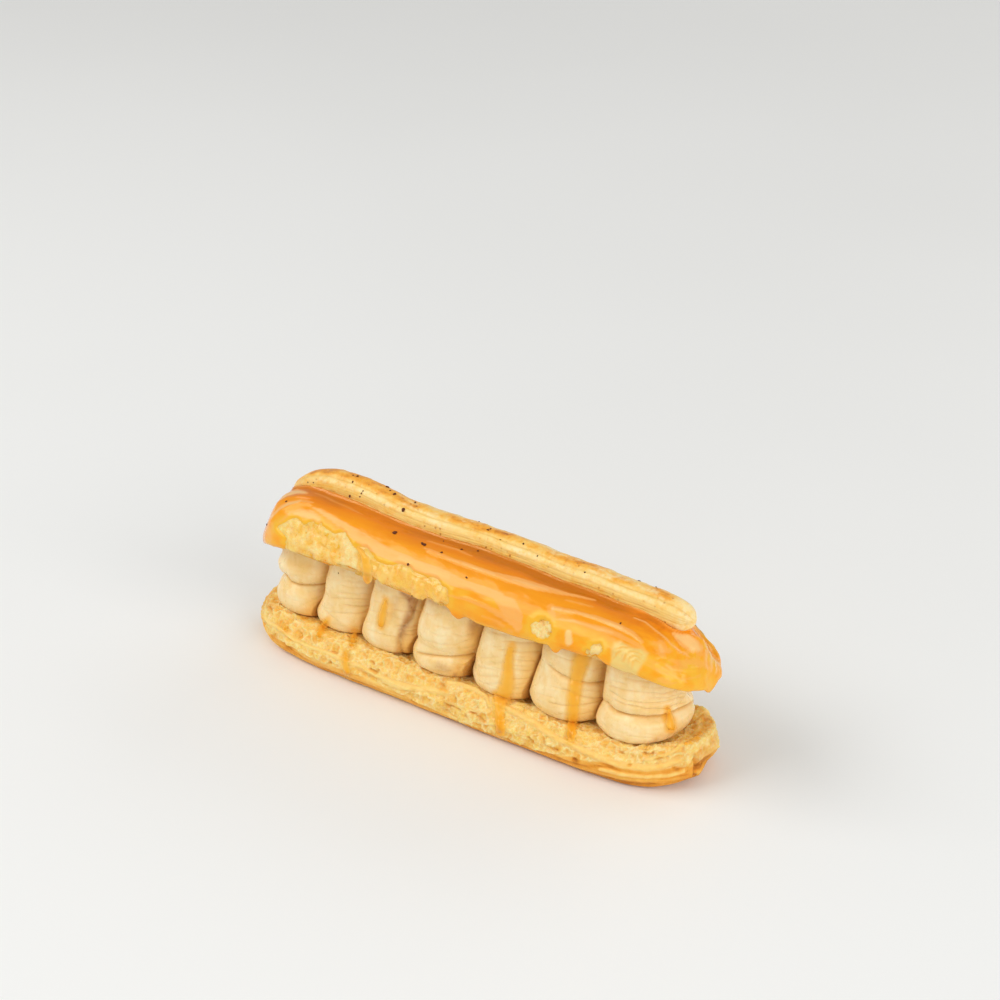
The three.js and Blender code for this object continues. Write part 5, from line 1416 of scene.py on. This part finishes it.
def drip(points, thickness, on, seed, hang=0.0):
    """A run of caramel along (px x, px y, half width in px), draped on the pieces `on`."""
    p = path_points(points, 0.9)
    for _ in range(3):
        p[1:-1] = 0.25 * p[:-2] + 0.5 * p[1:-1] + 0.25 * p[2:]
    across = np.linspace(-1, 1, 15)
    rows, normals, heights = [], [], []
    count = len(p)
    for i, (cx, cy, half) in enumerate(p):
        a, b = p[max(i - 1, 0)], p[min(i + 1, count - 1)]
        t = (b - a)[:2] / (np.linalg.norm((b - a)[:2]) + 1e-9)
        side = np.array([-t[1], t[0]])
        half = half * (1 + 0.10 * np.sin(0.7 * i + seed) * min(1, half / 3))
        hits = [meet(on, CAMERA, ray(np.array([cx, cy]) + side * half * w)) for w in across]
        if any(h is None for h in hits):
            continue
        rows.append(np.array([h[0] for h in hits]))
        normals.append(np.mean([h[1] for h in hits], 0))
        s = i / max(count - 1, 1)
        heights.append(min(1.0, np.sqrt(clamp01(s / 0.06)) + 0.2) * np.sqrt(clamp01((1 - s) / 0.05) + 1e-4)
                       * (0.75 + 0.55 * smooth(0.7, 0.95, s)))
    if hang:                                            # the end hangs free below the edge it ran over
        last, middle = rows[-1], rows[-1].mean(0)
        for j in range(1, 11):
            f = j / 10
            rows.append(middle + (last - middle) * np.sqrt(1.0001 - f ** 2.4) + np.array([0.0, 0.35 * f, -hang * f]))
            normals.append(normals[-1])
            heights.append(1.15 * np.sqrt(1.02 - f ** 3))
    rows, normals, heights = np.array(rows), np.array(normals), np.array(heights)
    for _ in range(4):
        normals[1:-1] = 0.25 * normals[:-2] + 0.5 * normals[1:-1] + 0.25 * normals[2:]
    normals /= np.linalg.norm(normals, axis=1, keepdims=True)
    for _ in range(2):                                  # bridges small wrinkles below it
        rows[1:-1] = 0.25 * rows[:-2] + 0.5 * rows[1:-1] + 0.25 * rows[2:]
        rows[:, 1:-1] = 0.25 * rows[:, :-2] + 0.5 * rows[:, 1:-1] + 0.25 * rows[:, 2:]
    crown = clamp01(1 - across ** 2) ** 0.75
    top = rows + normals[:, None] * (thickness * heights[:, None] * crown[None] - 0.07)[..., None]
    low = rows - normals[:, None] * 0.5
    k, w = rows.shape[:2]
    ring = np.concatenate([top, low[:, ::-1]], 1)       # a closed ring across the run
    n = 2 * w
    ends = np.vstack([ring[0].mean(0), ring[-1].mean(0)])
    tris = np.concatenate([fan(0, n, k * n)[:, ::-1], fan((k - 1) * n, n, k * n + 1)])
    depth = np.concatenate([0.10 + 0.60 * crown[None] * heights[:, None], np.full((k, w), 0.5)], 1).ravel()
    return np.vstack([ring.reshape(-1, 3), ends]), ring_quads(k, n), tris, np.append(depth, [0.4, 0.4])


soft = creams + [base]
parts = [drip(points, thick, soft, q) for q, (points, thick) in enumerate(RUNS)]
parts.append(drip([(703, 732, 1.6), (697, 738.5, 3.4), (690.5, 742.2, 3.0), (684, 744.4, 1.4)], 0.40, soft, 8))
parts.append(drip([(357, 547, 1.8), (361.5, 552, 3.0), (365.4, 560, 4.4), (367.2, 570, 5.0), (367, 577, 4.4), (367.2, 581.5, 3.4), (367.4, 584.2, 2.0)],
                  0.70, [lid, glaze], 9, 2.6))


def join(parts):
    verts, quads, tris, values, start = [], [], [], [], 0
    for v, q, t, a in parts:
        verts.append(v)
        quads.append(q + start)
        tris.append(t + start)
        values.append(a)
        start += len(v)
    return np.vstack(verts), np.concatenate(quads), np.concatenate(tris), np.concatenate(values)


v, q, t, depth = join(parts)
drips_piece = add_mesh("caramel_drips", v, q[:, ::-1], t[:, ::-1], drip_material, {"depth": depth})

# One lump of ground coffee: a rough ball
ico = bpy.data.meshes.new("lump")
import bmesh
bm = bmesh.new()
bmesh.ops.create_icosphere(bm, subdivisions=2, radius=1.0)
bm.verts.ensure_lookup_table()
LUMP = np.array([vert.co[:] for vert in bm.verts])
LUMP_FACES = np.array([[vert.index for vert in f.verts] for f in bm.faces])
bm.free()
bpy.data.meshes.remove(ico)

chance = np.random.RandomState(7)
solid_pieces = [glaze, rope_piece, lid, base] + creams
specks = []


def lump(point, normal, size, seed):
    n = Vector(normal).normalized()
    turn = np.array(n.to_track_quat("Z", "Y").to_matrix())
    wobble = 1 + 0.35 * noise(LUMP * 1.3 + seed * 3.1, 900)
    a = 0.5 * size * np.array([1.0 + 0.3 * np.sin(seed), 1.0 - 0.25 * np.sin(seed), 0.62])
    spin = seed * 2.1
    r = np.array([[np.cos(spin), -np.sin(spin), 0], [np.sin(spin), np.cos(spin), 0], [0, 0, 1]])
    pts = (LUMP * wobble[:, None] * a) @ r.T @ turn.T
    return pts + point + np.array(n) * size * 0.10


def speck_at(origin, direction, size, seed, on=None):
    hit = meet(on or solid_pieces, origin, direction)
    if hit is None:
        return
    specks.append((lump(hit[0], hit[1], size, seed), NO_QUADS, LUMP_FACES, np.zeros(len(LUMP))))


# Seen ones, by their place in the frame and their size in millimetres
for k, (x, y, size) in enumerate((
        (357.5, 476.3, 1.0), (387.5, 487.2, 1.0), (390.3, 490.5, 0.7), (394.6, 494.3, 1.1), (415.3, 502.6, 0.9), (403.5, 510, 1.25),
        (349.8, 496, 0.9), (361.5, 493.3, 0.7), (360, 496.8, 0.6), (363, 491, 0.5), (488, 530, 0.7), (490.5, 529, 0.6),
        (523.4, 543.8, 0.75), (286.6, 501.4, 0.8), (267.2, 524.6, 0.95), (394.9, 533, 1.5), (422.6, 543.8, 1.3), (424.8, 544.8, 1.1),
        (441.6, 552.6, 0.8), (461.8, 549.6, 0.8), (478, 551, 0.7), (408, 564.4, 0.95), (466.6, 577.6, 0.75), (620.5, 623.5, 0.75),
        (353.2, 475.4, 0.6), (465.5, 516, 0.6), (468, 517.5, 0.5), (308, 482.4, 0.5), (313.5, 482.5, 0.5), (352.7, 482, 0.7),
        (584.8, 572.3, 0.6), (537.5, 556, 0.5), (500.5, 539.8, 0.45), (443.5, 541.2, 0.45), (412, 596, 0.5), (338.5, 573, 0.5))):
    speck_at(CAMERA, ray(np.array([x, y])), 0.80 * size, k + 1)
# A few more, finer, on the far side of the upper half
for k in range(46):
    x = -58 + 120 * chance.rand()
    y = -3 + 17 * chance.rand()
    size = 0.35 + 0.6 * chance.rand() ** 2
    if k < 30 or y > 0:
        speck_at(np.array([x, abs(y), 90.0]), np.array([0.0, 0.0, -1.0]), size, 60 + k, [glaze, rope_piece, lid])
sv, sq, st, _ = join(specks)
specks_piece = add_mesh("ground_coffee", sv, NO_QUADS, st, speck_material)


# ---- What rides, what stands for what ---------------------------------------------------------------

for piece in [base, lid, glaze, rope_piece, drips_piece, specks_piece] + creams:
    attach(piece, "root")
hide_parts("base")
for k, piece in enumerate(creams):
    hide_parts(f"cream_{k + 1}")
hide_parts("lid")
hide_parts("rope")


# ---- Floor, light and camera --------------------------------------------------------------------------

floor_look = Look("pale_floor", Roughness=0.55, IOR=1.4)
floor_look.set(Base_Color=floor_look.ramp(floor_look.noise(400.0, 2.0), [(0.4, (0.880, 0.888, 0.875)), (0.6, (0.897, 0.905, 0.893))]))
angle = 2 * PI * np.arange(96) / 96
disc = np.vstack([np.stack([6000 * np.cos(angle), 6000 * np.sin(angle), 0 * angle], -1), [0, 0, 0]])
floor = add_mesh("floor", disc, NO_QUADS, fan(0, 96, 96), floor_look.material)

world = bpy.data.worlds.new("studio")
world.use_nodes = True
world.node_tree.nodes["Background"].inputs["Color"].default_value = (1.0, 0.985, 0.965, 1.0)
world.node_tree.nodes["Background"].inputs["Strength"].default_value = 0.485
bpy.context.scene.world = world


def softbox(name, place, target, width, height, power, colour=(1.0, 1.0, 1.0)):
    data = bpy.data.lights.new(name, "AREA")
    data.shape = "RECTANGLE"
    data.size, data.size_y = width, height
    data.energy = power
    data.color = colour
    o = bpy.data.objects.new(name, data)
    o.location = place
    o.rotation_mode = "QUATERNION"
    o.rotation_quaternion = (Vector(target) - Vector(place)).to_track_quat("-Z", "Y")
    bpy.context.scene.collection.objects.link(o)
    return o


softbox("key_front_left", (-0.69, -0.64, 0.89), (0, 0, 0.03), 1.15, 0.56, 7.9)
softbox("rim_back", (0.35, 1.25, 0.75), (0, 0, 0.04), 1.30, 0.50, 3.0)
softbox("fill_right", (1.00, -0.30, 0.48), (0, 0, 0.03), 0.80, 0.60, 5.4)

cam_data = bpy.data.cameras.new("camera")
cam_data.sensor_width = 36.0
cam_data.lens = FOCAL * 36.0 / 1000.0
cam_data.clip_start, cam_data.clip_end = 0.01, 50.0
cam = bpy.data.objects.new("camera", cam_data)
place = (CAMERA + np.array([SHIFT_X, 0, 0])) * 0.001
back = -FORWARD
cam.matrix_world = Matrix(((RIGHT[0], UP[0], back[0], place[0]), (RIGHT[1], UP[1], back[1], place[1]),
                           (RIGHT[2], UP[2], back[2], place[2]), (0, 0, 0, 1)))
bpy.context.scene.collection.objects.link(cam)
bpy.context.scene.camera = cam

bpy.context.scene.view_settings.view_transform = "Standard"
bpy.context.scene.view_settings.look = "None"
bpy.context.scene.view_settings.exposure = 0.0

bpy.context.view_layer.update()
